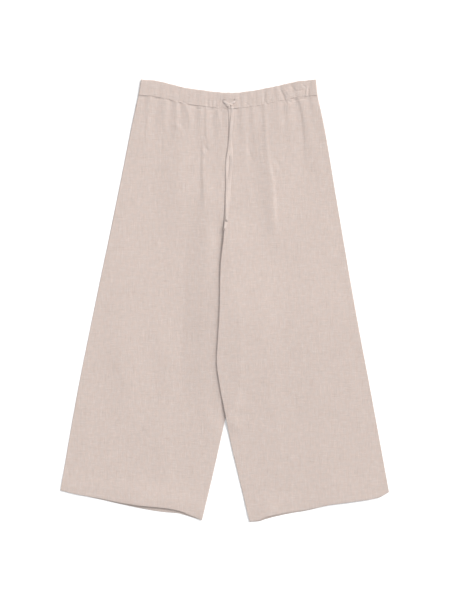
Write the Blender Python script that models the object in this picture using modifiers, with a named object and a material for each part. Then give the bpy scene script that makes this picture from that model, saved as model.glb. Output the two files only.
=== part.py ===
"""Cropped palazzo trousers in slubby linen with a drawstring waist, laid flat with the front up.

+Y runs to the waist, +X to the right as seen from above, and +Z up off the surface they lie on.
"Left" and "right" are as seen from above. The two back panels and the back of the waistband lie
on the surface, the front panels and the front of the waistband lie on them, and the right leg's
inner edge lies over the left leg's. Tables and sizes are in millimetres.
"""

from collections import namedtuple

import bmesh
import bpy
import numpy as np

MM = 0.001
COLLECTION = "palazzo_trousers"

# Cloth, clearances and the waistband.
PANEL_WALL = 1.2
BAND_WALL = 2.6
SEAM_GAP = 0.3
LAYER_GAP = 0.3
BAND_HEIGHT = 35.2
TOP_ENDS = (-184.3, 200.8)
SEAM_ENDS = (-190.0, 204.3)

# Heights of the undersides where nothing is raised, and how far below its seam with the
# waistband the front is still drawn up to it.
FRONT_REST = PANEL_WALL + LAYER_GAP
BAND_REST = BAND_WALL + LAYER_GAP
WAIST_RISE = BAND_REST + BAND_WALL / 2 - PANEL_WALL / 2 - FRONT_REST
WAIST_RISE_REACH = 75.0

# The front stands a little off the back, but for a strip along its edges.
LOFT = 1.0
LOFT_EDGE = 32.0
FOLD_EDGE = 14.0

# The right leg's inner edge lies on the left leg between the crotch and the fork. The left leg's
# front rises to it, and the right leg comes down again beyond it, its back sooner than its front.
OVERLAP_CLEARANCE = 0.7
OVERLAP_LIFT = FRONT_REST + PANEL_WALL + OVERLAP_CLEARANCE
OVERLAP_Y_TOP = (268.0, 196.0)
OVERLAP_Y_FORK = (-350.0, -268.0)
OVERLAP_MARGIN = (12.0, 46.0)
OVERLAP_MARGIN_FRONT = (28.0, 205.0)
PRESSED_MARGIN = (-40.0, -8.0)
CROTCH_RISE = 3.8
CROTCH_RISE_Y_TOP = (205.0, 70.0)
CROTCH_RISE_Y_FORK = (-345.0, -215.0)
CROTCH_RISE_REACH = 84.0
CROTCH_RISE_POWER = 1.5
INNER_EDGE_FALL = (3.0, 22.0)

# The flat ties, their knots and the buttonholes they come out of.
TIE_WIDTH = 6.4
TIE_THICKNESS = 2.2
TIE_POINT_SPACING = 10.0
TIE_CLEAR_OF_TIE = (6.3, 8.6)
END_KNOT_RADII = (3.7, 4.4, 2.2)
KNOT_RADII = (8.6, 5.4, 3.1)
KNOT_CENTRE = (12.0, 430.8)
BIGHT_WIDTH = 5.6
BIGHT_SEGMENTS = 8
BUTTONHOLES = ((-2.0, 438.4), (21.5, 438.8))

# Mesh densities.
PANEL_ROW_CROWDING = 1.7
FRONT_COLUMNS, FRONT_ROWS = 46, 24
BACK_COLUMNS, BACK_ROWS = 40, 18
BAND_COLUMNS, BAND_ROWS = 110, 2
KNOT_SEGMENTS, KNOT_RINGS = 20, 12
END_KNOT_SEGMENTS, END_KNOT_RINGS = 12, 8
TIE_ROUNDING = 2
PATCH_POINTS = 5

# Caps are welded to their tube at this distance.
WELD = 0.001

Length = namedtuple("Length", "y x")
Across = namedtuple("Across", "x y")
Tuck = namedtuple("Tuck", "x width height reach lean")
Pucker = namedtuple("Pucker", "x width depth lean")
Section = namedtuple("Section", "y x width height")
Panel = namedtuple("Panel", "name left right hem columns rows height")
Fold = namedtuple("Fold", "middle width height")


class Line:
    """A smooth line through a table's rows: the second column for any value of the first.

    It never swings past its rows, and it is level where they turn back.
    """

    def __init__(self, rows):
        self.keys, self.values = np.array(sorted(rows), float).T
        self.low, self.high = self.keys[0], self.keys[-1]
        chords = np.diff(self.values) / np.diff(self.keys)
        before, after = chords[:-1], chords[1:]
        one_way = before * after > 0.0
        between = np.where(one_way, 2 * before * after / np.where(one_way, before + after, 1.0), 0.0)
        self.slopes = np.concatenate([chords[:1], between, chords[-1:]])

    def __call__(self, key):
        key = np.clip(key, self.low, self.high)
        i = np.clip(np.searchsorted(self.keys, key) - 1, 0, len(self.keys) - 2)
        step = self.keys[i + 1] - self.keys[i]
        t = (key - self.keys[i]) / step
        start = self.values[i] * (2 * t**3 - 3 * t**2 + 1)
        leave = self.slopes[i] * step * (t**3 - 2 * t**2 + t)
        end = self.values[i + 1] * (3 * t**2 - 2 * t**3)
        arrive = self.slopes[i + 1] * step * (t**3 - t**2)
        return start + leave + end + arrive


class InnerEdge:
    """A leg's inner edge: the centre seam as far as the crotch, and its own way from there.

    Its rows give how far it is from the centre line, below zero to the left.
    """

    def __init__(self, rows):
        self.away = Line(rows)
        self.low, self.high = self.away.low, self.away.high

    def __call__(self, y):
        return CENTRE_SEAM(y) + self.away(y)


def fold(*sections):
    """A long fold, read from its sections: height is a ridge's, or a furrow's below zero."""
    return Fold(
        middle=Line([(s.y, s.x) for s in sections]),
        width=Line([(s.y, s.width) for s in sections]),
        height=Line([(s.y, s.height) for s in sections]),
    )


# The outline: side seams and inner edges from hem to waist, and the waist and hems across.
SIDE_LEFT = Line([
    Length(y=451.0, x=-190.0),
    Length(y=386.0, x=-204.0),
    Length(y=221.0, x=-237.0),
    Length(y=-43.0, x=-292.0),
    Length(y=-208.0, x=-325.0),
    Length(y=-417.0, x=-361.4),
])
SIDE_RIGHT = Line([
    Length(y=449.0, x=204.3),
    Length(y=386.0, x=218.0),
    Length(y=221.0, x=246.0),
    Length(y=-43.0, x=291.5),
    Length(y=-208.0, x=322.5),
    Length(y=-421.0, x=361.4),
])
CENTRE_SEAM = Line([
    Length(y=421.5, x=9.4),
    Length(y=290.0, x=4.0),
    Length(y=155.0, x=-1.7),
    Length(y=-486.2, x=-1.7),
])
INNER_LEFT = InnerEdge([
    Length(y=421.5, x=0.0),
    Length(y=165.0, x=0.0),
    Length(y=105.0, x=2.7),
    Length(y=23.0, x=15.7),
    Length(y=-65.0, x=25.0),
    Length(y=-131.0, x=25.7),
    Length(y=-201.0, x=16.2),
    Length(y=-274.0, x=0.0),
    Length(y=-373.0, x=-22.0),
    Length(y=-483.0, x=-48.3),
])
INNER_RIGHT = InnerEdge([
    Length(y=421.5, x=0.0),
    Length(y=165.0, x=0.0),
    Length(y=70.0, x=-8.3),
    Length(y=-20.0, x=-10.1),
    Length(y=-85.0, x=-13.8),
    Length(y=-130.0, x=-16.3),
    Length(y=-184.0, x=-10.1),
    Length(y=-248.0, x=2.3),
    Length(y=-307.0, x=13.3),
    Length(y=-373.0, x=28.7),
    Length(y=-486.2, x=56.2),
])
WAIST_TOP = Line([
    Across(x=-184.3, y=486.2),
    Across(x=-155.0, y=484.0),
    Across(x=-120.0, y=476.3),
    Across(x=-85.0, y=467.8),
    Across(x=-50.0, y=462.6),
    Across(x=-15.0, y=458.7),
    Across(x=16.0, y=457.0),
    Across(x=55.0, y=460.6),
    Across(x=91.0, y=467.3),
    Across(x=126.0, y=474.6),
    Across(x=161.0, y=482.4),
    Across(x=200.8, y=486.2),
])
HEM_LEFT_FRONT = Line([
    Across(x=-361.4, y=-417.0),
    Across(x=-331.0, y=-424.6),
    Across(x=-279.0, y=-434.3),
    Across(x=-226.0, y=-445.0),
    Across(x=-186.0, y=-451.0),
    Across(x=-142.0, y=-455.0),
    Across(x=-103.0, y=-461.5),
    Across(x=-76.0, y=-472.0),
    Across(x=-50.0, y=-483.0),
])
HEM_LEFT_BACK = Line([
    Across(x=-361.4, y=-417.0),
    Across(x=-279.0, y=-435.6),
    Across(x=-226.0, y=-447.7),
    Across(x=-173.0, y=-458.7),
    Across(x=-138.0, y=-464.2),
    Across(x=-103.0, y=-467.5),
    Across(x=-76.0, y=-474.8),
    Across(x=-50.0, y=-483.0),
])
HEM_RIGHT_FRONT = Line([
    Across(x=54.5, y=-486.2),
    Across(x=73.0, y=-483.8),
    Across(x=91.0, y=-476.3),
    Across(x=108.0, y=-471.9),
    Across(x=144.0, y=-465.3),
    Across(x=179.0, y=-460.5),
    Across(x=232.0, y=-449.0),
    Across(x=284.0, y=-442.2),
    Across(x=337.0, y=-433.4),
    Across(x=361.4, y=-421.0),
])
HEM_RIGHT_BACK = Line([
    Across(x=54.5, y=-486.2),
    Across(x=73.0, y=-485.2),
    Across(x=91.0, y=-480.0),
    Across(x=108.0, y=-475.4),
    Across(x=144.0, y=-467.5),
    Across(x=179.0, y=-461.5),
    Across(x=232.0, y=-449.4),
    Across(x=284.0, y=-442.4),
    Across(x=337.0, y=-433.4),
    Across(x=361.4, y=-421.0),
])

# Gathers that run down the front from the waistband's seam: height is the ridge's, or a furrow's
# below zero, reach is how far down it fades, and lean is its sideways step for each step down.
# A gather widens by the share TUCK_SPREAD over its reach.
TUCK_SPREAD = 0.5
GATHERS = [
    Tuck(x=-176.0, width=6.0, height=-0.6, reach=60.0, lean=-0.16),
    Tuck(x=-163.0, width=5.0, height=0.8, reach=70.0, lean=-0.12),
    Tuck(x=-148.0, width=7.0, height=-0.8, reach=95.0, lean=-0.10),
    Tuck(x=-131.0, width=5.5, height=0.9, reach=80.0, lean=-0.04),
    Tuck(x=-118.0, width=6.0, height=-1.0, reach=75.0, lean=-0.05),
    Tuck(x=-106.0, width=5.0, height=1.2, reach=55.0, lean=0.02),
    Tuck(x=-98.0, width=5.0, height=-0.9, reach=50.0, lean=0.10),
    Tuck(x=-86.0, width=5.0, height=1.2, reach=48.0, lean=0.30),
    Tuck(x=-66.0, width=7.0, height=-1.1, reach=80.0, lean=-0.02),
    Tuck(x=-52.0, width=5.0, height=0.7, reach=60.0, lean=0.0),
    Tuck(x=-28.0, width=7.0, height=-0.9, reach=60.0, lean=0.0),
    Tuck(x=-16.0, width=5.0, height=1.0, reach=40.0, lean=0.10),
    Tuck(x=-6.0, width=5.0, height=-0.8, reach=35.0, lean=0.05),
    Tuck(x=27.0, width=5.0, height=-0.7, reach=60.0, lean=0.0),
    Tuck(x=38.0, width=5.0, height=0.9, reach=70.0, lean=0.02),
    Tuck(x=61.0, width=5.0, height=0.8, reach=60.0, lean=0.08),
    Tuck(x=78.0, width=6.0, height=-0.9, reach=70.0, lean=0.06),
    Tuck(x=118.0, width=6.0, height=0.7, reach=60.0, lean=0.08),
    Tuck(x=128.0, width=5.0, height=-0.8, reach=60.0, lean=0.05),
    Tuck(x=137.0, width=5.0, height=1.0, reach=55.0, lean=0.08),
    Tuck(x=152.0, width=7.0, height=-1.1, reach=85.0, lean=0.12),
    Tuck(x=179.0, width=7.0, height=-0.9, reach=75.0, lean=0.20),
    Tuck(x=192.0, width=5.0, height=0.7, reach=50.0, lean=0.20),
]

# Shallow gathers of the back, which rise off the surface between flat stretches. They fade out
# between the two distances of BACK_GATHERS_END below the seam, and the front keeps off the back
# by OVER_GATHERS times their height.
BACK_GATHERS = [
    Tuck(x=-170.0, width=6.5, height=0.7, reach=70.0, lean=-0.14),
    Tuck(x=-141.0, width=6.0, height=0.9, reach=90.0, lean=-0.10),
    Tuck(x=-114.0, width=7.0, height=0.7, reach=55.0, lean=-0.06),
    Tuck(x=-92.0, width=6.0, height=0.9, reach=105.0, lean=-0.06),
    Tuck(x=-63.0, width=7.0, height=0.8, reach=75.0, lean=-0.02),
    Tuck(x=-38.0, width=6.0, height=0.9, reach=60.0, lean=-0.02),
    Tuck(x=-15.0, width=6.0, height=0.8, reach=95.0, lean=0.0),
    Tuck(x=31.0, width=6.0, height=0.9, reach=85.0, lean=0.0),
    Tuck(x=55.0, width=7.0, height=0.7, reach=60.0, lean=0.04),
    Tuck(x=79.0, width=6.0, height=0.9, reach=100.0, lean=0.04),
    Tuck(x=107.0, width=6.5, height=0.8, reach=65.0, lean=0.08),
    Tuck(x=132.0, width=6.0, height=0.9, reach=90.0, lean=0.10),
    Tuck(x=160.0, width=6.5, height=0.8, reach=60.0, lean=0.14),
    Tuck(x=184.0, width=6.0, height=0.7, reach=75.0, lean=0.18),
]
BACK_GATHERS_END = (150.0, 190.0)
OVER_GATHERS = 1.3

# The largest folds of the front, from the waist down.
FOLDS = {
    "swell_at_the_left_side": fold(
        Section(y=430.0, x=-190.0, width=45.0, height=0.6),
        Section(y=340.0, x=-198.0, width=58.0, height=2.0),
        Section(y=232.0, x=-212.0, width=72.0, height=3.0),
        Section(y=150.0, x=-222.0, width=64.0, height=2.6),
        Section(y=60.0, x=-226.0, width=50.0, height=2.2),
        Section(y=-40.0, x=-232.0, width=42.0, height=1.9),
        Section(y=-110.0, x=-228.0, width=34.0, height=1.7),
        Section(y=-180.0, x=-211.0, width=28.0, height=1.9),
        Section(y=-250.0, x=-217.0, width=32.0, height=0.9),
        Section(y=-330.0, x=-240.0, width=36.0, height=0.3),
    ),
    "ridge_left_of_the_ties": fold(
        Section(y=432.0, x=-34.0, width=6.0, height=1.2),
        Section(y=380.0, x=-33.0, width=6.5, height=1.8),
        Section(y=347.0, x=-37.0, width=6.5, height=1.7),
        Section(y=325.0, x=-44.0, width=7.0, height=1.6),
        Section(y=298.0, x=-42.0, width=8.0, height=1.5),
        Section(y=263.0, x=-41.0, width=8.5, height=2.3),
        Section(y=225.0, x=-37.0, width=10.0, height=2.4),
        Section(y=190.0, x=-38.0, width=14.0, height=2.0),
        Section(y=150.0, x=-38.0, width=20.0, height=0.9),
        Section(y=110.0, x=-40.0, width=24.0, height=0.0),
    ),
    "soft_ridge_on_the_left_hip": fold(
        Section(y=420.0, x=-97.0, width=12.0, height=0.0),
        Section(y=345.0, x=-92.0, width=17.0, height=0.8),
        Section(y=298.0, x=-101.0, width=20.0, height=1.2),
        Section(y=262.0, x=-104.0, width=18.0, height=1.2),
        Section(y=200.0, x=-126.0, width=18.0, height=0.8),
        Section(y=130.0, x=-140.0, width=20.0, height=0.0),
    ),
    "ridge_under_the_ties": fold(
        Section(y=425.0, x=7.0, width=13.0, height=0.4),
        Section(y=340.0, x=9.0, width=15.0, height=1.0),
        Section(y=290.0, x=9.0, width=15.0, height=1.1),
        Section(y=232.0, x=8.0, width=15.0, height=0.7),
        Section(y=180.0, x=8.0, width=18.0, height=0.0),
    ),
    "ridge_on_the_right_hip": fold(
        Section(y=430.0, x=94.0, width=7.0, height=0.9),
        Section(y=353.0, x=96.0, width=8.5, height=1.7),
        Section(y=298.0, x=97.0, width=9.5, height=2.2),
        Section(y=250.0, x=103.0, width=11.0, height=2.0),
        Section(y=200.0, x=110.0, width=13.0, height=1.9),
        Section(y=160.0, x=114.0, width=15.0, height=1.4),
        Section(y=80.0, x=118.0, width=18.0, height=0.0),
    ),
    "swell_on_the_right_hip": fold(
        Section(y=430.0, x=122.0, width=38.0, height=0.4),
        Section(y=353.0, x=128.0, width=40.0, height=1.2),
        Section(y=232.0, x=138.0, width=42.0, height=1.4),
        Section(y=166.0, x=144.0, width=44.0, height=1.0),
        Section(y=80.0, x=150.0, width=46.0, height=0.0),
    ),
    "ridge_right_of_the_ties": fold(
        Section(y=425.0, x=43.0, width=8.0, height=0.5),
        Section(y=375.0, x=46.0, width=9.0, height=1.1),
        Section(y=310.0, x=44.0, width=10.0, height=1.0),
        Section(y=230.0, x=50.0, width=12.0, height=0.7),
        Section(y=160.0, x=56.0, width=14.0, height=0.0),
    ),
    "crease_at_the_right_side": fold(
        Section(y=446.0, x=159.0, width=5.0, height=-0.9),
        Section(y=408.0, x=165.0, width=5.5, height=-1.5),
        Section(y=366.0, x=172.0, width=6.0, height=-1.4),
        Section(y=335.0, x=175.0, width=7.0, height=-1.0),
        Section(y=285.0, x=184.0, width=9.0, height=0.0),
    ),
    "ridge_at_the_right_side": fold(
        Section(y=440.0, x=177.0, width=8.0, height=0.5),
        Section(y=366.0, x=184.0, width=10.0, height=1.1),
        Section(y=310.0, x=200.0, width=12.0, height=1.1),
        Section(y=240.0, x=214.0, width=16.0, height=0.4),
        Section(y=160.0, x=224.0, width=20.0, height=0.0),
    ),
    "ridge_down_the_right_leg": fold(
        Section(y=90.0, x=74.0, width=22.0, height=0.0),
        Section(y=20.0, x=76.0, width=24.0, height=0.8),
        Section(y=-43.0, x=78.0, width=24.0, height=1.1),
        Section(y=-109.0, x=94.0, width=24.0, height=1.3),
        Section(y=-180.0, x=98.0, width=26.0, height=0.9),
        Section(y=-250.0, x=108.0, width=28.0, height=1.2),
        Section(y=-340.0, x=124.0, width=30.0, height=0.8),
        Section(y=-430.0, x=142.0, width=32.0, height=0.3),
    ),
    "swell_down_the_right_leg": fold(
        Section(y=200.0, x=160.0, width=26.0, height=0.0),
        Section(y=70.0, x=176.0, width=32.0, height=0.8),
        Section(y=-60.0, x=160.0, width=34.0, height=0.6),
        Section(y=-230.0, x=196.0, width=40.0, height=0.5),
        Section(y=-380.0, x=232.0, width=44.0, height=0.8),
        Section(y=-490.0, x=250.0, width=46.0, height=0.5),
    ),
    "low_ridge_down_the_left_leg": fold(
        Section(y=30.0, x=-150.0, width=24.0, height=0.0),
        Section(y=-60.0, x=-148.0, width=26.0, height=0.4),
        Section(y=-130.0, x=-128.0, width=22.0, height=0.6),
        Section(y=-190.0, x=-124.0, width=22.0, height=0.6),
        Section(y=-260.0, x=-145.0, width=24.0, height=0.5),
        Section(y=-360.0, x=-130.0, width=28.0, height=0.4),
        Section(y=-470.0, x=-120.0, width=30.0, height=0.2),
    ),
}

# Where the front's hems stand off the backs: reach is how far up the leg that fades.
HEM_LIFTS = [
    Tuck(x=-170.0, width=58.0, height=1.7, reach=48.0, lean=0.2),
    Tuck(x=-102.0, width=22.0, height=0.7, reach=40.0, lean=0.2),
    Tuck(x=98.0, width=20.0, height=1.6, reach=45.0, lean=-0.2),
    Tuck(x=215.0, width=34.0, height=0.6, reach=50.0, lean=-0.2),
]

# Puckers of the elasticated waistband: furrows under its back, which draw it up off the surface,
# and furrows in its front. Lean is a furrow's sideways step for each step up from the seam.
PUCKER_LOFT = 0.9
BACK_PUCKERS = [
    Pucker(x=-174.0, width=4.0, depth=0.6, lean=0.0),
    Pucker(x=-160.0, width=3.6, depth=0.4, lean=0.0),
    Pucker(x=-143.0, width=4.2, depth=0.6, lean=0.0),
    Pucker(x=-131.0, width=3.4, depth=0.5, lean=0.0),
    Pucker(x=-113.0, width=4.0, depth=0.6, lean=0.0),
    Pucker(x=-98.0, width=4.2, depth=0.5, lean=0.0),
    Pucker(x=-84.0, width=3.6, depth=0.6, lean=0.0),
    Pucker(x=-67.0, width=4.0, depth=0.6, lean=0.0),
    Pucker(x=-55.0, width=3.4, depth=0.4, lean=0.0),
    Pucker(x=-40.0, width=4.0, depth=0.6, lean=0.0),
    Pucker(x=-22.0, width=4.2, depth=0.5, lean=0.0),
    Pucker(x=-9.0, width=3.6, depth=0.6, lean=0.0),
    Pucker(x=6.0, width=4.0, depth=0.5, lean=0.0),
    Pucker(x=21.0, width=4.0, depth=0.6, lean=0.0),
    Pucker(x=34.0, width=3.6, depth=0.4, lean=0.0),
    Pucker(x=52.0, width=4.2, depth=0.6, lean=0.0),
    Pucker(x=66.0, width=3.8, depth=0.6, lean=0.0),
    Pucker(x=78.0, width=3.4, depth=0.5, lean=0.0),
    Pucker(x=95.0, width=4.0, depth=0.6, lean=0.0),
    Pucker(x=108.0, width=3.8, depth=0.5, lean=0.0),
    Pucker(x=125.0, width=4.2, depth=0.6, lean=0.0),
    Pucker(x=137.0, width=3.4, depth=0.5, lean=0.0),
    Pucker(x=151.0, width=4.0, depth=0.6, lean=0.0),
    Pucker(x=168.0, width=4.0, depth=0.4, lean=0.0),
    Pucker(x=181.0, width=3.8, depth=0.6, lean=0.0),
]
PUCKERS = [
    Pucker(x=-171.0, width=4.5, depth=0.3, lean=0.0),
    Pucker(x=-146.0, width=4.5, depth=0.4, lean=0.1),
    Pucker(x=-123.0, width=4.5, depth=0.3, lean=0.0),
    Pucker(x=-102.0, width=4.5, depth=0.5, lean=0.0),
    Pucker(x=-90.0, width=4.5, depth=0.4, lean=0.1),
    Pucker(x=-63.0, width=4.5, depth=0.4, lean=0.0),
    Pucker(x=-37.0, width=4.5, depth=0.8, lean=0.0),
    Pucker(x=-27.0, width=4.5, depth=0.7, lean=0.0),
    Pucker(x=-17.0, width=4.5, depth=0.8, lean=0.0),
    Pucker(x=-7.0, width=4.5, depth=0.8, lean=0.0),
    Pucker(x=33.0, width=4.5, depth=0.8, lean=0.0),
    Pucker(x=47.0, width=4.5, depth=0.6, lean=0.1),
    Pucker(x=68.0, width=4.5, depth=0.6, lean=0.0),
    Pucker(x=88.0, width=4.5, depth=0.9, lean=-0.1),
    Pucker(x=101.0, width=4.5, depth=0.6, lean=0.2),
    Pucker(x=113.0, width=4.5, depth=0.7, lean=-0.2),
    Pucker(x=130.0, width=4.5, depth=0.9, lean=-0.3),
    Pucker(x=145.0, width=4.5, depth=0.6, lean=0.2),
    Pucker(x=157.0, width=4.5, depth=0.9, lean=-0.4),
    Pucker(x=171.0, width=4.5, depth=0.7, lean=0.2),
    Pucker(x=183.0, width=4.5, depth=0.8, lean=0.1),
]

# The ties' middle lines from the knot to their free ends, as seen from above.
TIE_ROUTES = {
    "left": [
        (9.6, 425.6), (11.9, 402.0), (12.4, 375.0), (12.6, 349.0), (14.3, 327.0), (14.4, 306.0),
        (12.6, 284.0), (10.6, 262.0), (9.4, 238.0), (8.2, 213.0), (6.2, 192.0), (3.2, 174.0), (0.6, 162.0),
    ],
    "right": [
        (16.2, 425.4), (16.4, 408.0), (15.0, 390.0), (13.4, 371.0), (11.6, 350.0), (9.4, 330.0),
        (6.6, 312.0), (5.1, 292.0), (4.9, 265.0), (4.9, 239.0), (4.7, 212.0), (4.4, 190.0), (4.3, 181.0),
    ],
}

LINEN = (0.66, 0.56, 0.51, 1.0)
LINEN_BAND = (0.64, 0.54, 0.49, 1.0)
TIE_CLOTH = (0.69, 0.59, 0.54, 1.0)
CLOTH_ROUGHNESS = 0.92


def mix(start, end, share):
    return start + (end - start) * share


def step_between(value, start, end):
    """0 at start, 1 at end, with level ends."""
    t = np.clip((value - start) / (end - start), 0.0, 1.0)
    return t * t * (3.0 - 2.0 * t)


def bump(distance, width):
    return np.exp(-((distance / width) ** 2))


def waist_seam(x):
    """The seam of the waistband and the panels, one band's height below the top edge."""
    share = (x - SEAM_ENDS[0]) / (SEAM_ENDS[1] - SEAM_ENDS[0])
    return WAIST_TOP(mix(TOP_ENDS[0], TOP_ENDS[1], share)) - BAND_HEIGHT


def tucks(table, x, distance):
    """Short ridges and furrows that start at an edge and fade as the distance from it grows."""
    total = np.zeros_like(x)
    for tuck in table:
        middle = tuck.x + tuck.lean * distance
        width = tuck.width * (1.0 + TUCK_SPREAD * distance / tuck.reach)
        total = total + tuck.height * bump(x - middle, width) * bump(distance, tuck.reach)
    return total


def folds(x, y):
    """The sum of the large folds."""
    total = np.zeros_like(x)
    for one in FOLDS.values():
        total = total + one.height(y) * bump(x - one.middle(y), one.width(y))
    return total


def crotch_to_fork(y):
    """1 where one leg lies on the other, 0 well above the crotch and below the fork."""
    return step_between(y, *OVERLAP_Y_TOP) * step_between(y, *OVERLAP_Y_FORK)


def crotch_rise(y):
    """How far the left leg's front has risen where it goes under the right leg."""
    return CROTCH_RISE * step_between(y, *CROTCH_RISE_Y_TOP) * step_between(y, *CROTCH_RISE_Y_FORK)


def rise_to_overlap(x, y):
    """How far the left leg's front rises towards the right leg's inner edge and on below it."""
    share = np.clip((x - INNER_RIGHT(y)) / CROTCH_RISE_REACH + 1.0, 0.0, 1.0) ** CROTCH_RISE_POWER
    return crotch_rise(y) * share * step_between(INNER_LEFT(y) - x, *INNER_EDGE_FALL)


def overlap_lift(x, y, margin):
    """How far the right leg is raised where it lies on the left leg, and down beyond it."""
    reach = np.maximum(INNER_LEFT(y), INNER_RIGHT(y))
    lift = OVERLAP_LIFT * crotch_to_fork(y) + crotch_rise(y)
    return lift * (1.0 - step_between(x - reach, *margin))


def pressed(x, y):
    """1 on the strip of the left leg that lies under the right one, 0 away from it."""
    return step_between(x - INNER_RIGHT(y), *PRESSED_MARGIN) * crotch_to_fork(y)


def back_gathers(x, y):
    """How far the back's gathers rise off the surface: they end well above the crotch."""
    below_waist = np.maximum(waist_seam(x) - y, 0.0)
    fade = 1.0 - step_between(below_waist, *BACK_GATHERS_END)
    return tucks(BACK_GATHERS, x, below_waist) * fade


def front_form(x, y, edge_distance):
    """How far the front stands off the back: loft, folds, gathers and lifted hems."""
    below_waist = np.maximum(waist_seam(x) - y, 0.0)
    hem = np.where(x < (INNER_LEFT(y) + INNER_RIGHT(y)) / 2, HEM_LEFT_FRONT(x), HEM_RIGHT_FRONT(x))
    above_hem = np.maximum(y - hem, 0.0)
    form = LOFT * step_between(edge_distance, 0.0, LOFT_EDGE)
    form = form + folds(x, y) * step_between(edge_distance, 0.0, FOLD_EDGE)
    form = form + WAIST_RISE * bump(below_waist, WAIST_RISE_REACH)
    form = form + tucks(GATHERS, x, below_waist) + tucks(HEM_LIFTS, x, above_hem)
    return np.maximum(form, OVER_GATHERS * back_gathers(x, y))


def left_front_height(x, y):
    form = front_form(x, y, x - SIDE_LEFT(y))
    return FRONT_REST + form * (1.0 - pressed(x, y)) + rise_to_overlap(x, y)


def right_front_height(x, y):
    form = front_form(x, y, SIDE_RIGHT(y) - x)
    near, far = overlap_lift(x, y, OVERLAP_MARGIN), overlap_lift(x, y, OVERLAP_MARGIN_FRONT)
    return FRONT_REST + form + np.maximum(near, far)


def left_back_height(x, y):
    return back_gathers(x, y)


def right_back_height(x, y):
    return back_gathers(x, y) + overlap_lift(x, y, OVERLAP_MARGIN)


def front_top(x, y):
    """The upper surface of the front panels and the waistband, which the ties lie on."""
    on_left = x < (INNER_LEFT(y) + INNER_RIGHT(y)) / 2
    panels = np.where(on_left, left_front_height(x, y), right_front_height(x, y)) + PANEL_WALL
    band = front_band_height(x, y) + BAND_WALL
    return np.where(y > waist_seam(x) - SEAM_GAP, band, panels)


def puckers(table, x, y):
    """How deep the waistband's furrows are."""
    above_seam = y - waist_seam(x)
    total = np.zeros_like(x)
    for pucker in table:
        total = total + pucker.depth * bump(x - pucker.x - pucker.lean * above_seam, pucker.width)
    return total


def front_band_height(x, y):
    """The waistband's front: an even loft, less the puckers' furrows."""
    return BAND_REST + np.maximum(PUCKER_LOFT - puckers(PUCKERS, x, y), back_band_height(x, y))


def back_band_height(x, y):
    """The waistband's back: level where it rests, and drawn up in a furrow at each pucker."""
    return puckers(BACK_PUCKERS, x, y)


def panel_place(panel):
    """The panel's patch: rows between its two long edges, bowed to the waist and to the hem."""
    gap = SEAM_GAP / 2

    def place(across, up):
        up = 1.0 - (1.0 - up) ** PANEL_ROW_CROWDING
        y_left = mix(panel.left.low, panel.left.high, up)
        y_right = mix(panel.right.low, panel.right.high, up)
        x = mix(panel.left(y_left) + gap, panel.right(y_right) - gap, across)
        x_waist = mix(panel.left(panel.left.high) + gap, panel.right(panel.right.high) - gap, across)
        x_hem = mix(panel.left(panel.left.low) + gap, panel.right(panel.right.low) - gap, across)
        waist_bow = waist_seam(x_waist) - gap - mix(panel.left.high, panel.right.high, across)
        hem_bow = panel.hem(x_hem) - mix(panel.left.low, panel.right.low, across)
        y = mix(y_left, y_right, across) + waist_bow * up + hem_bow * (1.0 - up)
        return x, y, panel.height(x, y)

    return place


def band_place(height):
    """The waistband's strip, from the seam to the top edge."""

    def place(across, up):
        x_left = mix(SEAM_ENDS[0], TOP_ENDS[0], up)
        x_right = mix(SEAM_ENDS[1], TOP_ENDS[1], up)
        x = mix(x_left, x_right, across)
        top = WAIST_TOP(mix(TOP_ENDS[0], TOP_ENDS[1], across))
        rise = SEAM_GAP / 2 + (BAND_HEIGHT - SEAM_GAP / 2) * up
        y = top - BAND_HEIGHT + rise
        return x, y, height(x, y)

    return place


def cloth_material(name, colour):
    material = bpy.data.materials.new(name)
    material.use_nodes = True
    shader = material.node_tree.nodes["Principled BSDF"]
    shader.inputs["Base Color"].default_value = colour
    shader.inputs["Roughness"].default_value = CLOTH_ROUGHNESS
    shader.inputs["Metallic"].default_value = 0.0
    return material


def add_object(name, data, colour, root, collection):
    """Puts a mesh or curve into the garment, with its own material."""
    data.materials.append(cloth_material(name + "_cloth", colour))
    piece = bpy.data.objects.new(name, data)
    piece.parent = root
    collection.objects.link(piece)
    return piece


def add_cloth(name, columns, rows, place, wall, colour, root, collection):
    """A grid laid out by its place function, thickened upwards into a wall."""
    cells = bmesh.new()
    bmesh.ops.create_grid(cells, x_segments=columns, y_segments=rows, size=0.5)
    square = np.array([vertex.co[:2] for vertex in cells.verts]) + 0.5
    points = np.column_stack(place(square[:, 0], square[:, 1])) * MM
    for vertex, point in zip(cells.verts, points):
        vertex.co = point
    mesh = bpy.data.meshes.new(name)
    cells.to_mesh(mesh)
    cells.free()
    mesh.shade_smooth()
    piece = add_object(name, mesh, colour, root, collection)
    thicken = piece.modifiers.new("wall", "SOLIDIFY")
    thicken.thickness = wall * MM
    thicken.offset = 1.0
    return piece


def add_panels(root, collection):
    fronts = (FRONT_COLUMNS, FRONT_ROWS)
    backs = (BACK_COLUMNS, BACK_ROWS)
    for panel in (
        Panel("front_leg_left", SIDE_LEFT, INNER_LEFT, HEM_LEFT_FRONT, *fronts, left_front_height),
        Panel("front_leg_right", INNER_RIGHT, SIDE_RIGHT, HEM_RIGHT_FRONT, *fronts, right_front_height),
        Panel("back_leg_left", SIDE_LEFT, INNER_LEFT, HEM_LEFT_BACK, *backs, left_back_height),
        Panel("back_leg_right", INNER_RIGHT, SIDE_RIGHT, HEM_RIGHT_BACK, *backs, right_back_height),
    ):
        place = panel_place(panel)
        add_cloth(panel.name, panel.columns, panel.rows, place, PANEL_WALL, LINEN, root, collection)


def add_waistband(root, collection):
    for name, height in (("waistband_front", front_band_height), ("waistband_back", back_band_height)):
        place = band_place(height)
        add_cloth(name, BAND_COLUMNS, BAND_ROWS, place, BAND_WALL, LINEN_BAND, root, collection)


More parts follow.
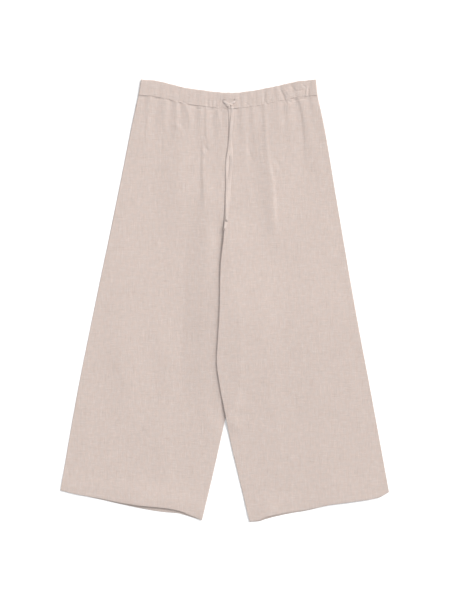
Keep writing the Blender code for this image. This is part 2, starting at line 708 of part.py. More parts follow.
def smooth_route(route, spacing):
    """Evenly spaced points on a smooth curve through a route's own points."""
    route = np.array(route, float)
    along = np.concatenate([[0.0], np.cumsum(np.linalg.norm(np.diff(route, axis=0), axis=1))])
    count = int(round(along[-1] / spacing)) + 1
    at = np.linspace(0.0, along[-1], count)
    return np.column_stack([Line(zip(along, column))(at) for column in route.T])


def resting_height(x, y, width, length):
    """The highest of the cloth under a small flat patch."""
    sideways = np.linspace(-width, width, PATCH_POINTS) / 2
    lengthways = np.linspace(-length, length, PATCH_POINTS) / 2
    over_x, over_y = np.meshgrid(sideways, lengthways)
    return front_top(x + over_x.ravel(), y + over_y.ravel()).max()


def over_left_tie(x, y):
    """1 where a tie at this point would lie on the left tie, 0 clear of it."""
    across = np.abs(x - Line([(py, px) for px, py in TIE_ROUTES["left"]])(y))
    return 1.0 - step_between(across, *TIE_CLEAR_OF_TIE)


def tie_points(name):
    """The tie's middle line: it lies on the cloth, and the right tie on the left one."""
    points = smooth_route(TIE_ROUTES[name], TIE_POINT_SPACING)
    heights = [resting_height(x, y, TIE_WIDTH, 2 * TIE_POINT_SPACING) for x, y in points]
    heights = np.array(heights) + LAYER_GAP + TIE_THICKNESS / 2
    if name == "right":
        heights = heights + (TIE_THICKNESS + LAYER_GAP) * over_left_tie(*points.T)
    return np.column_stack([points, heights])


def flat_tube(name, points, width, thickness, colour, root, collection):
    """A flat strip of folded cloth: a round tube along the points, pressed flat by its scale."""
    flatness = thickness / width
    curve = bpy.data.curves.new(name, "CURVE")
    curve.dimensions = "3D"
    curve.bevel_depth = width / 2 * MM
    curve.bevel_resolution = TIE_ROUNDING
    curve.use_fill_caps = True
    spline = curve.splines.new("POLY")
    spline.points.add(len(points) - 1)
    for target, (x, y, z) in zip(spline.points, points):
        target.co = (x * MM, y * MM, z * MM / flatness, 1.0)
    strip = add_object(name, curve, colour, root, collection)
    strip.scale = (1.0, 1.0, flatness)
    return strip


def pressed_ball(name, centre, radii, segments, rings, root, collection):
    """A knot pulled tight: a ball pressed to three radii."""
    ball = bmesh.new()
    bmesh.ops.create_uvsphere(ball, u_segments=segments, v_segments=rings, radius=1.0)
    bmesh.ops.scale(ball, vec=[r * MM for r in radii], verts=ball.verts)
    mesh = bpy.data.meshes.new(name)
    ball.to_mesh(mesh)
    ball.free()
    mesh.shade_smooth()
    knot = add_object(name, mesh, TIE_CLOTH, root, collection)
    knot.location = [c * MM for c in centre]
    return knot


def add_ties(root, collection):
    """Both free ends of the drawstring, each with a small knot at its tip."""
    for name in TIE_ROUTES:
        points = tie_points(name)
        flat_tube("tie_" + name, points, TIE_WIDTH, TIE_THICKNESS, TIE_CLOTH, root, collection)
        heading = points[-1, :2] - points[-2, :2]
        heading = heading / np.linalg.norm(heading)
        x, y = points[-1, :2] + heading * (END_KNOT_RADII[1] + 2 * LAYER_GAP)
        rest = resting_height(x, y, 2 * END_KNOT_RADII[0], 2 * END_KNOT_RADII[1])
        if name == "right":
            rest = rest + (TIE_THICKNESS + LAYER_GAP) * over_left_tie(x, y)
        centre = (x, y, rest + LAYER_GAP + END_KNOT_RADII[2])
        size = (END_KNOT_RADII, END_KNOT_SEGMENTS, END_KNOT_RINGS)
        pressed_ball("tie_end_" + name, centre, *size, root, collection)


def curve_as_mesh(strip):
    """The strip as a mesh object with its caps welded on, so that it can be joined to another."""
    bpy.context.view_layer.update()
    evaluated = strip.evaluated_get(bpy.context.evaluated_depsgraph_get())
    mesh = bpy.data.meshes.new_from_object(evaluated)
    shape = bmesh.new()
    shape.from_mesh(mesh)
    bmesh.ops.remove_doubles(shape, verts=shape.verts, dist=WELD * MM)
    bmesh.ops.recalc_face_normals(shape, faces=shape.faces)
    shape.to_mesh(mesh)
    shape.free()
    solid = bpy.data.objects.new(strip.name + "_solid", mesh)
    solid.matrix_world = strip.matrix_world
    bpy.data.objects.remove(strip)
    return solid


def add_knot(root, collection, helpers):
    """The drawstring's knot, with a short stretch of tie on each side that goes to its buttonhole."""
    x, y = KNOT_CENTRE
    rest = resting_height(x, y, 2 * KNOT_RADII[0], 2 * KNOT_RADII[1])
    centre = (x, y, rest + LAYER_GAP + KNOT_RADII[2])
    size = (KNOT_RADII, KNOT_SEGMENTS, KNOT_RINGS)
    knot = pressed_ball("drawstring_knot", centre, *size, root, collection)
    for side, (hole_x, hole_y) in zip(("left", "right"), BUTTONHOLES):
        low = resting_height(hole_x, hole_y, BIGHT_WIDTH, BIGHT_WIDTH) + LAYER_GAP + TIE_THICKNESS / 2
        share = np.linspace(0.0, 1.0, BIGHT_SEGMENTS)
        rise = (centre[2] - low) * step_between(share, 0.0, 1.0)
        points = np.column_stack([mix(hole_x, x, share), mix(hole_y, y, share), low + rise])
        name = "bight_" + side
        strip = flat_tube(name, points, BIGHT_WIDTH, TIE_THICKNESS, TIE_CLOTH, root, helpers)
        solid = curve_as_mesh(strip)
        solid.hide_render = True
        solid.display_type = "WIRE"
        helpers.objects.link(solid)
        join = knot.modifiers.new(name, "BOOLEAN")
        join.operation = "UNION"
        join.object = solid
    return knot


def new_collection(name):
    collection = bpy.data.collections.new(name)
    bpy.context.scene.collection.children.link(collection)
    return collection


def main():
    for old in list(bpy.data.objects):
        bpy.data.objects.remove(old)
    collection = new_collection(COLLECTION)
    helpers = new_collection(COLLECTION + "_helpers")
    root = bpy.data.objects.new(COLLECTION + "_origin", None)
    collection.objects.link(root)
    add_panels(root, collection)
    add_waistband(root, collection)
    add_knot(root, collection, helpers)
    add_ties(root, collection)


main()
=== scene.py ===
"""The looks of the palazzo trousers: slubby linen laid flat with the front up, seen from above.

The axes are the frame's: +Y to the waist, +X to the right as seen from above, and +Z up. Tables
and sizes are in millimetres. The outline, the folds and the ties' routes are the garment's own, and
the fine creases, seams, stitches and the weave are added here.
"""

from collections import namedtuple

import bpy
import numpy as np
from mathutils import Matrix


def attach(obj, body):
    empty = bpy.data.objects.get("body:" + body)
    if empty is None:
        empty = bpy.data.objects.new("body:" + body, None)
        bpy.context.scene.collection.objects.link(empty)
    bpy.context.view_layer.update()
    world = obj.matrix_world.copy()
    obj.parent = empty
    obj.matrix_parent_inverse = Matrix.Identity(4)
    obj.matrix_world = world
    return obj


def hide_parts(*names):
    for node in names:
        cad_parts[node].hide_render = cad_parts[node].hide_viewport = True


MM = 0.001
CLOTH_UV = "cloth"

# Cloth, clearances and the waistband. Heights are of a cloth's middle, where nothing raises it.
CLOTH = 0.42
LAYER = 0.08
SEAM_GAP = 0.3
WAIST_TUCK = 0.9
BACK_MIDDLE = CLOTH / 2
FRONT_MIDDLE = 1.0
BAND_HEIGHT = 35.2
BAND_LOW, BAND_HIGH = 2.3, 4.4
BACK_BAND_HIGH = 2.1
WAIST_RISE = 2.0
WAIST_RISE_REACH = 75.0
TOP_ENDS = (-184.3, 200.8)
SEAM_ENDS = (-190.0, 204.3)

# The front stands a little off the back, but for a strip along its edges, where it curls down.
LOFT = 0.45
LOFT_EDGE = 45.0
FOLD_EDGE = 20.0
CURL = 1.2
CROTCH_Y = (172.0, 150.0)
SEAM_DIP = 0.5
SEAM_DIP_WIDTH = 1.3

# Hems are turned up inside the legs.
HEM_TURN_UP = 22.0
HEM_RADIUS = (CLOTH + 0.06) / 2
HEM_STACK = 1.6
HEM_ZONE = (18.0, 60.0)
HEM_ARC_STEPS = 6

# The right leg's inner edge lies on the left leg between the crotch and the fork. The left leg's
# front rises to it, and the right leg comes down again beyond it, its back sooner than its front.
OVERLAP_LIFT = 1.6
OVERLAP_Y_TOP = (208.0, 132.0)
OVERLAP_Y_FORK = (-296.0, -262.0)
OVERLAP_MARGIN = (12.0, 46.0)
OVERLAP_STEP_MARGIN = (4.0, 150.0)
OVERLAP_MARGIN_FRONT = (5.0, 290.0)
OVERLAP_MARGIN_FORK = 120.0
OVERLAP_MARGIN_Y = (-230.0, -50.0)
PRESSED_MARGIN = (-40.0, -8.0)
PRESSED_MIDDLE = BACK_MIDDLE + CLOTH + LAYER
CROTCH_RISE = 6.6
CROTCH_RISE_Y_TOP = (250.0, -40.0)
CROTCH_RISE_Y_FORK = (-345.0, -20.0)
CROTCH_RISE_REACH = 80.0
CROTCH_RISE_POWER = 1.12
INNER_EDGE_FALL = (3.0, 22.0)
INNER_EDGE_FALL_Y = (100.0, 0.0)

# The flat ties, their knots and the buttonholes they come out of.
TIE_WIDTH = 6.4
TIE_THICKNESS = 0.6
TIE_POINT_SPACING = 2.5
TIE_CLEAR_OF_TIE = (6.3, 8.6)
TIE_CLEARANCE = 0.04
# A tie rests on the highest of a patch of points under it: how many lie across and along it, and
# the share of its width and length that they reach either way.
PATCH_POINTS, PATCH_REACH = (5, 3), (0.25, 0.5)
# The powers that round a strip's section, sideways and upwards.
STRIP_ROUNDING = (0.6, 0.8)
END_KNOT_SIZE = (3.0, 3.8, 1.2)
BUTTONHOLES = {"left": (-2.0, 438.4), "right": (21.5, 438.8)}

Fold = namedtuple("Fold", "crest left right height")
Panel = namedtuple("Panel", "left right hem height inside")
Grain = namedtuple("Grain", "per_metre detail offset")
Cut = namedtuple("Cut", "flat area")
TUCK_COLUMNS = "x width height reach lean"
PUCKER_COLUMNS = "x width depth lean"


def table(columns, rows):
    """A short table's rows with their columns named. A last column that is left out is 0."""
    row_of = namedtuple("Row", columns, defaults=(0.0,))
    return [row_of(*row) for row in rows]


class Line:
    """A smooth line through a table's rows: the second column for any value of the first.

    It never swings past its rows, and it is level where they turn back.
    """

    def __init__(self, rows):
        self.keys, self.values = np.array(sorted(rows), float).T
        self.low, self.high = self.keys[0], self.keys[-1]
        chords = np.diff(self.values) / np.diff(self.keys)
        before, after = chords[:-1], chords[1:]
        one_way = before * after > 0.0
        between = np.where(one_way, 2 * before * after / np.where(one_way, before + after, 1.0), 0.0)
        self.slopes = np.concatenate([chords[:1], between, chords[-1:]])

    def __call__(self, key):
        key = np.clip(key, self.low, self.high)
        i = np.clip(np.searchsorted(self.keys, key) - 1, 0, len(self.keys) - 2)
        step = self.keys[i + 1] - self.keys[i]
        t = (key - self.keys[i]) / step
        start = self.values[i] * (2 * t**3 - 3 * t**2 + 1)
        leave = self.slopes[i] * step * (t**3 - 2 * t**2 + t)
        end = self.values[i + 1] * (3 * t**2 - 2 * t**3)
        arrive = self.slopes[i + 1] * step * (t**3 - t**2)
        return start + leave + end + arrive


class InnerEdge:
    """A leg's inner edge: the centre seam as far as the crotch, and its own way from there.

    Its rows give how far it is from the centre line, below zero to the left.
    """

    def __init__(self, rows):
        self.away = Line(rows)
        self.low, self.high = self.away.low, self.away.high

    def __call__(self, y):
        return CENTRE_SEAM(y) + self.away(y)


def fold(*sections):
    """A long fold, read from its sections. Their columns are y, the crest's x, the half widths to
    the left and to the right of it, and its height, which is a furrow's below zero."""
    y, *columns = zip(*sections)
    return Fold(*(Line(zip(y, column)) for column in columns))


# The outline: side seams and inner edges are rows of (y, x) from the waist down, and the waist's
# top edge and the hems are rows of (x, y) from the left.
SIDE_LEFT = Line([
    (451, -190), (386, -204), (221, -237), (-43, -292), (-208, -325), (-417, -361.4),
])
SIDE_RIGHT = Line([
    (449, 204.3), (386, 218), (221, 246), (-43, 291.5), (-208, 322.5), (-421, 361.4),
])
CENTRE_SEAM = Line([
    (421.5, 9.4), (290, 4), (155, -1.7), (-486.2, -1.7),
])
INNER_LEFT = InnerEdge([
    (421.5, 0), (165, 0), (105, 2.7), (23, 15.7), (-65, 25), (-131, 25.7), (-201, 16.2), (-274, 0),
    (-373, -22), (-483, -48.3),
])
INNER_RIGHT = InnerEdge([
    (421.5, 0), (165, 0), (70, -8.3), (-20, -10.1), (-85, -13.8), (-130, -16.3), (-184, -10.1),
    (-248, 2.3), (-307, 13.3), (-373, 28.7), (-486.2, 56.2),
])
WAIST_TOP = Line([
    (-184.3, 486.2), (-155, 484), (-120, 476.3), (-85, 467.8), (-50, 462.6), (-15, 458.7),
    (16, 457), (55, 460.6), (91, 467.3), (126, 474.6), (161, 482.4), (200.8, 486.2),
])
HEM_LEFT_FRONT = Line([
    (-361.4, -417), (-331, -424.6), (-279, -434.3), (-226, -445), (-186, -451), (-142, -455),
    (-103, -461.5), (-76, -472), (-50, -483),
])
HEM_LEFT_BACK = Line([
    (-361.4, -417), (-279, -435.6), (-226, -447.7), (-173, -458.7), (-138, -464.2), (-103, -467.5),
    (-76, -474.8), (-50, -483),
])
HEM_RIGHT_FRONT = Line([
    (54.5, -486.2), (73, -483.8), (91, -476.3), (108, -471.9), (144, -465.3), (179, -460.5),
    (232, -449), (284, -442.2), (337, -433.4), (361.4, -421),
])
HEM_RIGHT_BACK = Line([
    (54.5, -486.2), (73, -485.2), (91, -480), (108, -475.4), (144, -467.5), (179, -461.5),
    (232, -449.4), (284, -442.4), (337, -433.4), (361.4, -421),
])

# Gathers that run down the front from the waistband's seam: height is the ridge's, or a furrow's
# below zero, reach is how far down it fades, and lean is its sideways step for each step down.
# A gather widens by the share TUCK_SPREAD over its reach.
TUCK_SPREAD = 0.5
GATHERS = table(TUCK_COLUMNS, [
    (-176, 6, -0.36, 60, -0.16), (-163, 5, 0.48, 70, -0.12), (-148, 7, -0.48, 95, -0.1),
    (-131, 5.5, 0.54, 80, -0.04), (-118, 6, -0.6, 75, -0.05), (-106, 5, 0.72, 55, 0.02),
    (-98, 5, -0.54, 50, 0.1), (-86, 5, 0.72, 48, 0.3), (-66, 7, -0.66, 80, -0.02),
    (-52, 5, 0.42, 60), (-28, 7, -0.54, 60), (-16, 5, 0.6, 40, 0.1), (-6, 5, -0.48, 35, 0.05),
    (27, 5, -0.42, 60), (38, 5, 0.54, 70, 0.02), (61, 5, 0.48, 60, 0.08), (78, 6, -0.54, 70, 0.06),
    (118, 6, 0.42, 60, 0.08), (128, 5, -0.48, 60, 0.05), (137, 5, 0.6, 55, 0.08),
    (152, 7, -0.66, 85, 0.12), (179, 7, -0.54, 75, 0.2), (192, 5, 0.42, 50, 0.2),
])

# Shallow gathers of the back, which rise off the surface between flat stretches. They fade out
# between the two distances of BACK_GATHERS_END below the seam, and the front keeps off the back
# by OVER_GATHERS times their height.
BACK_GATHERS = table(TUCK_COLUMNS, [
    (-170, 6.5, 0.7, 70, -0.14), (-141, 6, 0.9, 90, -0.1), (-114, 7, 0.7, 55, -0.06),
    (-92, 6, 0.9, 105, -0.06), (-63, 7, 0.8, 75, -0.02), (-38, 6, 0.9, 60, -0.02),
    (-15, 6, 0.8, 95), (31, 6, 0.9, 85), (55, 7, 0.7, 60, 0.04), (79, 6, 0.9, 100, 0.04),
    (107, 6.5, 0.8, 65, 0.08), (132, 6, 0.9, 90, 0.1), (160, 6.5, 0.8, 60, 0.14),
    (184, 6, 0.7, 75, 0.18),
])
BACK_GATHERS_END = (150.0, 190.0)
OVER_GATHERS = 1.3

# The largest folds of the front, from the waist down, as (y, x, left, right, height).
FOLDS = {
    "short_ridge_left_of_the_ties": fold(
        (432, -41, 3.5, 10, 0.36), (405, -41, 3, 10, 0.72), (365, -40.5, 3, 9, 0.72),
        (349, -36, 3.5, 9, 0.63), (328, -34, 4, 9, 0),
    ),
    "ridge_left_of_the_ties": fold(
        (362, -48, 3, 14, 0), (345, -48.5, 2.6, 16, 0.55), (290, -49, 3.2, 22, 1),
        (245, -45, 6, 22, 1.7), (218, -44, 9, 20, 1.6), (198, -46, 15, 20, 1.2),
        (160, -50, 22, 26, 0.5), (120, -54, 25, 32, 0),
    ),
    "soft_ridge_on_the_left_hip": fold(
        (400, -100, 16, 20, 0), (345, -100, 28, 34, 1.2), (298, -104, 33, 40, 1.8),
        (240, -104, 33, 38, 1.7), (190, -112, 30, 36, 1), (130, -120, 28, 30, 0),
    ),
    "ridge_under_the_ties": fold(
        (425, 7, 18, 16, 0.4), (340, 9, 36, 34, 1.3), (262, 8, 50, 60, 2), (200, 6, 62, 90, 2.6),
        (140, 4, 66, 100, 2.4), (80, 2, 66, 100, 1.3), (0, 0, 60, 90, 0),
    ),
    "ridge_on_the_right_hip": fold(
        (430, 90, 18, 40, 0.38), (397, 89, 24, 45, 0.88), (327, 94, 32, 50, 1.5),
        (288, 99.5, 34, 52, 2), (256, 105, 34, 52, 2.25), (210, 107, 28, 50, 2.12),
        (168, 109, 24, 46, 1.5), (130, 112, 22, 45, 0.5), (90, 114, 22, 45, 0),
    ),
    "crest_on_the_right_hip": fold(
        (430, 88, 6, 4, 0.3), (397, 89, 5, 4, 0.5), (327, 94, 8, 4.5, 0.65),
        (288, 99, 12, 4.5, 0.9), (256, 104.5, 15, 5, 1.1), (210, 107, 15, 5.5, 1.2),
        (168, 109, 13, 7, 0.9), (140, 110, 11, 8, 0),
    ),
    "ridge_right_of_the_ties": fold(
        (425, 45, 7, 5, 0.3), (385, 46, 8, 5, 0.5), (320, 46, 9, 5, 0.5), (288, 47, 10, 6, 0.3),
        (265, 48, 10, 6, 0),
    ),
    "short_ridge_beside_the_hip": fold(
        (262, 52, 8, 6, 0), (236, 55, 10, 6, 0.5), (215, 58, 10, 7, 0.3), (190, 62, 10, 8, 0),
    ),
    "crease_at_the_right_side": fold(
        (446, 156, 8, 3, -0.4), (429, 163, 9, 3, -0.7), (404, 168, 10, 3, -0.8),
        (365, 172, 10, 3.5, -0.7), (320, 174, 10, 4, -0.45), (276, 175, 10, 5, 0),
    ),
    "ridge_at_the_right_side": fold(
        (440, 180, 9, 12, 0.2), (366, 186, 10, 14, 0.4), (310, 200, 12, 18, 0.4),
        (240, 214, 16, 20, 0.2), (160, 224, 20, 20, 0),
    ),
    "ridge_down_the_left_side": fold(
        (90, -232, 30, 40, 0), (0, -236, 30, 45, 0.5), (-60, -232, 30, 45, 0.9),
        (-110, -228, 26, 42, 1.1), (-175, -216, 27, 40, 1.4), (-250, -222, 30, 40, 0.7),
        (-330, -240, 36, 40, 0),
    ),
    "low_ridge_down_the_left_leg": fold(
        (30, -150, 24, 24, 0), (-60, -148, 24, 28, 0.4), (-130, -128, 22, 24, 0.6),
        (-190, -124, 22, 24, 0.6), (-260, -145, 24, 26, 0.5), (-360, -130, 26, 30, 0.5),
        (-470, -120, 28, 32, 0.3),
    ),
    "ridge_down_the_right_leg": fold(
        (90, 80, 22, 30, 0), (20, 84, 24, 34, 0.4), (-43, 86, 22, 34, 0.6), (-109, 96, 22, 34, 0.6),
        (-180, 104, 24, 36, 0.4), (-250, 112, 26, 38, 0.6), (-340, 128, 28, 40, 0.5),
        (-430, 146, 30, 42, 0.3),
    ),
    "swell_down_the_right_leg": fold(
        (200, 170, 30, 40, 0), (70, 184, 32, 42, 0.6), (-60, 170, 34, 42, 0.5),
        (-230, 204, 38, 44, 0.4), (-380, 236, 42, 46, 0.6), (-490, 254, 44, 48, 0.4),
    ),
}

# How much the left side seam stands up along its own thickness, as (y, height), and how far in
# that fades.
SIDE_RISE = Line([
    (451, 0.3), (340, 0.5), (230, 0.5), (130, 0.3), (40, 0.1), (-60, 0), (-417, 0),
])
SIDE_RISE_REACH = 42.0

# Where the front's hems stand off the backs: reach is how far up the leg that fades.
HEM_LIFTS = table(TUCK_COLUMNS, [
    (-170, 58, 2.1, 48, 0.2), (-102, 22, 0.7, 40, 0.2), (98, 20, 1.4, 45, -0.2),
])

# Puckers of the elasticated waistband: furrows under its back, which draw it up off the surface,
# and furrows in its front. Lean is a furrow's sideways step for each step up from the seam.
BACK_PUCKERS = table(PUCKER_COLUMNS, [
    (-174, 4, 0.6), (-160, 3.6, 0.4), (-143, 4.2, 0.6), (-131, 3.4, 0.5), (-113, 4, 0.6),
    (-98, 4.2, 0.5), (-84, 3.6, 0.6), (-67, 4, 0.6), (-55, 3.4, 0.4), (-40, 4, 0.6),
    (-22, 4.2, 0.5), (-9, 3.6, 0.6), (6, 4, 0.5), (21, 4, 0.6), (34, 3.6, 0.4), (52, 4.2, 0.6),
    (66, 3.8, 0.6), (78, 3.4, 0.5), (95, 4, 0.6), (108, 3.8, 0.5), (125, 4.2, 0.6), (137, 3.4, 0.5),
    (151, 4, 0.6), (168, 4, 0.4), (181, 3.8, 0.6),
])
PUCKERS = table(PUCKER_COLUMNS, [
    (-171, 4.5, 0.17), (-146, 4.5, 0.22, 0.1), (-123, 4.5, 0.17), (-102, 4.5, 0.28),
    (-90, 4.5, 0.22, 0.1), (-63, 4.5, 0.22), (-37, 4.5, 0.44), (-27, 4.5, 0.39), (-17, 4.5, 0.44),
    (-7, 4.5, 0.44), (33, 4.5, 0.44), (47, 4.5, 0.33, 0.1), (68, 4.5, 0.33), (88, 4.5, 0.5, -0.1),
    (101, 4.5, 0.33, 0.2), (113, 4.5, 0.39, -0.2), (130, 4.5, 0.5, -0.3), (145, 4.5, 0.33, 0.2),
    (157, 4.5, 0.5, -0.4), (171, 4.5, 0.39, 0.2), (183, 4.5, 0.44, 0.1),
])

# The ties' middle lines from the knot to their free ends, as seen from above.
TIE_ROUTES = {
    "left": [
        (9.6, 425.6), (11.9, 402.0), (12.4, 375.0), (12.6, 349.0), (14.3, 327.0), (14.4, 306.0),
        (12.6, 284.0), (10.6, 262.0), (9.4, 238.0), (8.2, 213.0), (6.2, 192.0), (3.2, 174.0), (0.6, 162.0),
    ],
    "right": [
        (16.2, 425.4), (16.4, 408.0), (15.0, 390.0), (13.4, 371.0), (11.6, 350.0), (9.4, 330.0),
        (6.6, 312.0), (5.1, 292.0), (4.9, 265.0), (4.9, 239.0), (4.7, 212.0), (4.4, 190.0), (4.3, 181.0),
    ],
}

# How strongly the cloth is drawn up along the waist, as (x, share): 0 is smooth, 1 is tightly
# gathered.
DRAWN = Line([
    (-190, 0.15), (-150, 0.22), (-110, 0.45), (-70, 0.45), (-35, 0.85), (-8, 0.9), (30, 0.5),
    (80, 0.6), (130, 0.95), (165, 1), (204, 0.7),
])
PLEAT_CELL, PLEAT_HEIGHT = 4.6, 0.3
PLEAT_REACH, PLEAT_REACH_SHARE = 26.0, 1.3
PLEAT_REACH_CELL = 3 * PLEAT_CELL
BAND_PLEAT_HEIGHT, BAND_PLEAT_DRIFT = 0.2, 0.06
SCALLOP, SCALLOP_POWER = 0.9, 3
PLEAT_SEED, BAND_PLEAT_SEED = 31, 41
FRONT_SCALLOP_SEED, BACK_SCALLOP_SEED = 51, 61

# Small creases and dimples of their own: angle is degrees from +X, length and width are half sizes.
PINCHES = table("x y length width height angle", [
    # Along the waistband's seam, from the left.
    (-145, 443.5, 4.5, 1.6, -0.54, 50), (-120, 441, 22, 1.4, -0.33, -4),
    (-92, 436.5, 6, 1.6, -0.48, -30), (-60, 424, 5, 1.5, 0.42, 10), (-55, 421, 9, 1.5, -0.48, -14),
    (-28, 419.5, 6.5, 1.5, -0.54, 12), (-17, 421.5, 7, 1.5, -0.54, -24),
    (-22, 412, 6.5, 1.7, -0.48, 52), (-5.4, 419.8, 3, 2.4, 0.54, 70), (52, 430, 6, 1.6, -0.48, -38),
    (76, 431.5, 8, 1.6, -0.54, 14), (92, 434, 5, 1.6, -0.48, -50), (132, 441, 11, 1.8, -0.84, -62),
    (143, 437, 5, 1.8, -0.72, -20), (155, 440, 6, 1.6, -0.42, 20), (172, 443.5, 7, 1.8, -0.54, 2),
    # In the waistband, where the elastic folds it.
    (-38, 432, 9, 1.7, -0.42, 88), (-29, 432, 9, 1.6, -0.36, 92), (-20, 433, 9, 1.7, -0.45, 90),
    (-12, 433, 8, 1.5, -0.36, 88), (87, 445, 12, 1.8, -0.48, 78), (129, 452, 10, 1.9, -0.72, -55),
    (137, 458, 9, 2.2, 0.36, -50), (150, 467, 8, 1.6, -0.42, -45), (163, 461, 13, 1.8, -0.54, 8),
    (176, 470, 9, 1.6, -0.48, -42), (176, 457, 9, 1.7, -0.54, 84), (184, 455, 10, 1.6, -0.48, 88),
    (180, 462, 8, 2, 0.36, 86),
    # Where the drawstring draws the buttonholes in.
    (-1, 438.2, 3.2, 1.5, -1.1, 90), (20.6, 437.6, 3.2, 1.5, -1.1, 90),
    # Short kinks of the creases on the hips.
    (-42, 336, 9, 2.4, -0.6, -60), (-47, 326, 7, 2.6, 0.6, -66), (-97, 388, 12, 4, -0.36, -52),
    (-106, 383, 9, 5, 0.32, -70), (-136, 372, 8, 2.6, -0.42, 84), (-178, 372, 15, 3, -0.36, 80),
    (-139, 340, 14, 3, -0.42, 90), (196, 310, 12, 3, -0.36, 70), (58, 318, 13, 3.4, -0.48, -70),
    (79, 318, 12, 3, 0.42, -84), (100, 275, 9, 3, -0.42, 10), (118, 300, 22, 4, -0.36, -66),
])

# Broad waves of the loose cloth: cell is about half a wave's length.
WAVES = table("cell height seed", [
    (62, 0.8, 11), (26, 0.3, 12), (11, 0.05, 13),
])
LATTICE = 64
LATTICE_SHIFT = 20.0

# Mesh spacings.
ROW_CROWDING = 1.3
MESH_SIZES = {"front": (118, 322), "back": (86, 190)}
EDGE_COLUMNS = (0.0, 0.12, 0.35, 0.75, 1.3, 2.1, 3.2, 4.6)
BAND_COLUMNS = 430
BAND_FACE_ROWS = 20
BAND_TOP_ROUNDING, BAND_SEAM_ROUNDING, BAND_END_ROUNDING = 1.6, 1.2, 1.6
BAND_SEAM_SHARE = 0.6
ROUNDING_STEPS = 6
TUBE_SIDES = 14
NO_LENGTH = 1e-9

# The waistband's cloth is this many times as long as the band that its elastic gathers.
BAND_GATHER = 1.3

# The drawstring's knot, in two strands that cross, as (x, y, z, width, thickness). Heights are
# absolute.
KNOT_STRANDS = {
    "wrap": [
        (-2.2, 438.4, 4.5, 4.6, 0.82), (-0.6, 437.2, 4.92, 5, 0.88), (2.6, 434.2, 5.2, 5.2, 0.95),
        (7.6, 431.4, 5.65, 4.6, 1.15), (13.4, 430.4, 5.51, 4.2, 1.36), (17.2, 428.8, 5.13, 4, 1.36),
        (14.2, 426.6, 4.88, 4.2, 1.22), (16.2, 425.4, 4.95, 4.6, 1.15),
        (16.3, 421.6, 4.92, 4.8, 1.02),
    ],
    "loop": [
        (21.8, 439, 4.5, 4.6, 0.82), (20.6, 437.4, 4.92, 5, 0.88), (17.6, 434.2, 5.16, 5, 0.95),
        (12.6, 432.4, 5.09, 4.4, 1.15), (7.2, 430.6, 5.03, 4.2, 1.22), (5, 428.6, 5.2, 4, 1.36),
        (8.8, 427.6, 5.65, 4.2, 1.36), (9.8, 425.4, 5.38, 4.6, 1.22), (9.9, 421.6, 4.99, 4.8, 1.02),
    ],
}
KNOT_POINT_SPACING = 0.45

# The flat stretch of the waistband over the knot.
PLATE_MIDDLE, PLATE_HALF = (10.5, 448.0), (21.5, 8.0)
PLATE_EDGE, PLATE_RISE = 2.2, 0.45

# The ties: narrower where they leave the knot and in their tip knots, and rolled a little (degrees)
# as their length goes by.
TIE_SMOOTHING = 2
TIE_SPREAD = 22.0
TIE_TOP_PINCH = 0.22
TIE_KNOT_PINCH = 0.45
TIE_PINCH_REACH = 5.0
TIE_BUNCHING = 0.3
TIE_TAIL = 7.5
END_KNOT_BEYOND = 2.0
TIE_ROLLS = {
    "left": Line([(0, 4), (40, -8), (85, 10), (130, -6), (180, 8), (230, -8), (270, 4)]),
    "right": Line([(0, -4), (35, 8), (75, -6), (120, 9), (170, -5), (215, 6), (255, -4)]),
}
END_KNOT_POINTS = 61
END_KNOT_STRAND = 1.9
END_KNOT_FLATNESS = 0.85
END_KNOT_RISE = 0.4

# Buttonholes: half sizes of the worked ring, and its thread.
BUTTONHOLE_SIZE = (1.35, 4.9)
BUTTONHOLE_THREAD = 0.55
BUTTONHOLE_RIB = 0.18
BUTTONHOLE_STITCHES = 38
BUTTONHOLE_POINTS, BUTTONHOLE_SIDES = 228, 8
BUTTONHOLE_RISE = 0.15

# The row of stitches along the waistband's seam.
STITCH_MARGIN = 3.0
STITCH_ABOVE_SEAM = 2.2
STITCH_PITCH, STITCH_LENGTH = 3.0, 2.4
STITCH_THREAD = 0.42
STITCH_SUNK = 0.22
STITCH_TAPER = 0.25
STITCH_RINGS, STITCH_SIDES = 5, 6

# Linen: colours are linear, lengths in metres, and grain counts are per metre.
LINEN_TONES = ((0.384, 0.311, 0.277), (0.474, 0.397, 0.363), (0.565, 0.488, 0.453))
TIE_TONES = ((0.407, 0.33, 0.295), (0.499, 0.423, 0.388), (0.576, 0.499, 0.464))
THREADS_PER_METRE = 1400.0
WEAVE_DEPTH = 0.02
SLUB_DEPTH = 0.15
TIE_SLUB_DEPTH = 0.6 * SLUB_DEPTH
SLUB_EDGE = 0.12
SLUB_DETAIL = 1.0
SLUBS = [
    # across, along, sign, offset, low
    (45.0, 620.0, 1.0, 3.7, 0.60),
    (38.0, 560.0, -1.0, 17.3, 0.62),
    (600.0, 34.0, 1.0, 29.1, 0.61),
    (560.0, 30.0, -1.0, 41.9, 0.60),
]
MOTTLE = Grain(per_metre=(130.0, 100.0), detail=3.0, offset=(3.0, 7.0))
MOTTLE_DEPTH = 0.24
YARN = Grain(per_metre=(230.0, 60.0), detail=2.0, offset=(5.0, 1.0))
YARN_DEPTH = 0.10
HUE = Grain(per_metre=(150.0, 110.0), detail=1.0, offset=(9.0, 4.0))
HUE_RANGE = (0.35, 0.65)
HUE_TINTS = ((1.012, 0.996, 0.985, 1.0), (0.990, 1.004, 1.012, 1.0))
NOISE_ROUGHNESS = 0.5
MIDDLE_TONE = 0.5
ROUGHNESS = (0.9, 0.82)
SHEEN, SHEEN_ROUGHNESS = 0.12, 0.5
SPECULAR = 0.25
WEAVE_RELIEF = 0.35
SLUB_RELIEF = 0.8
BUMP_STRENGTH, BUMP_DISTANCE = 0.6, 0.00012

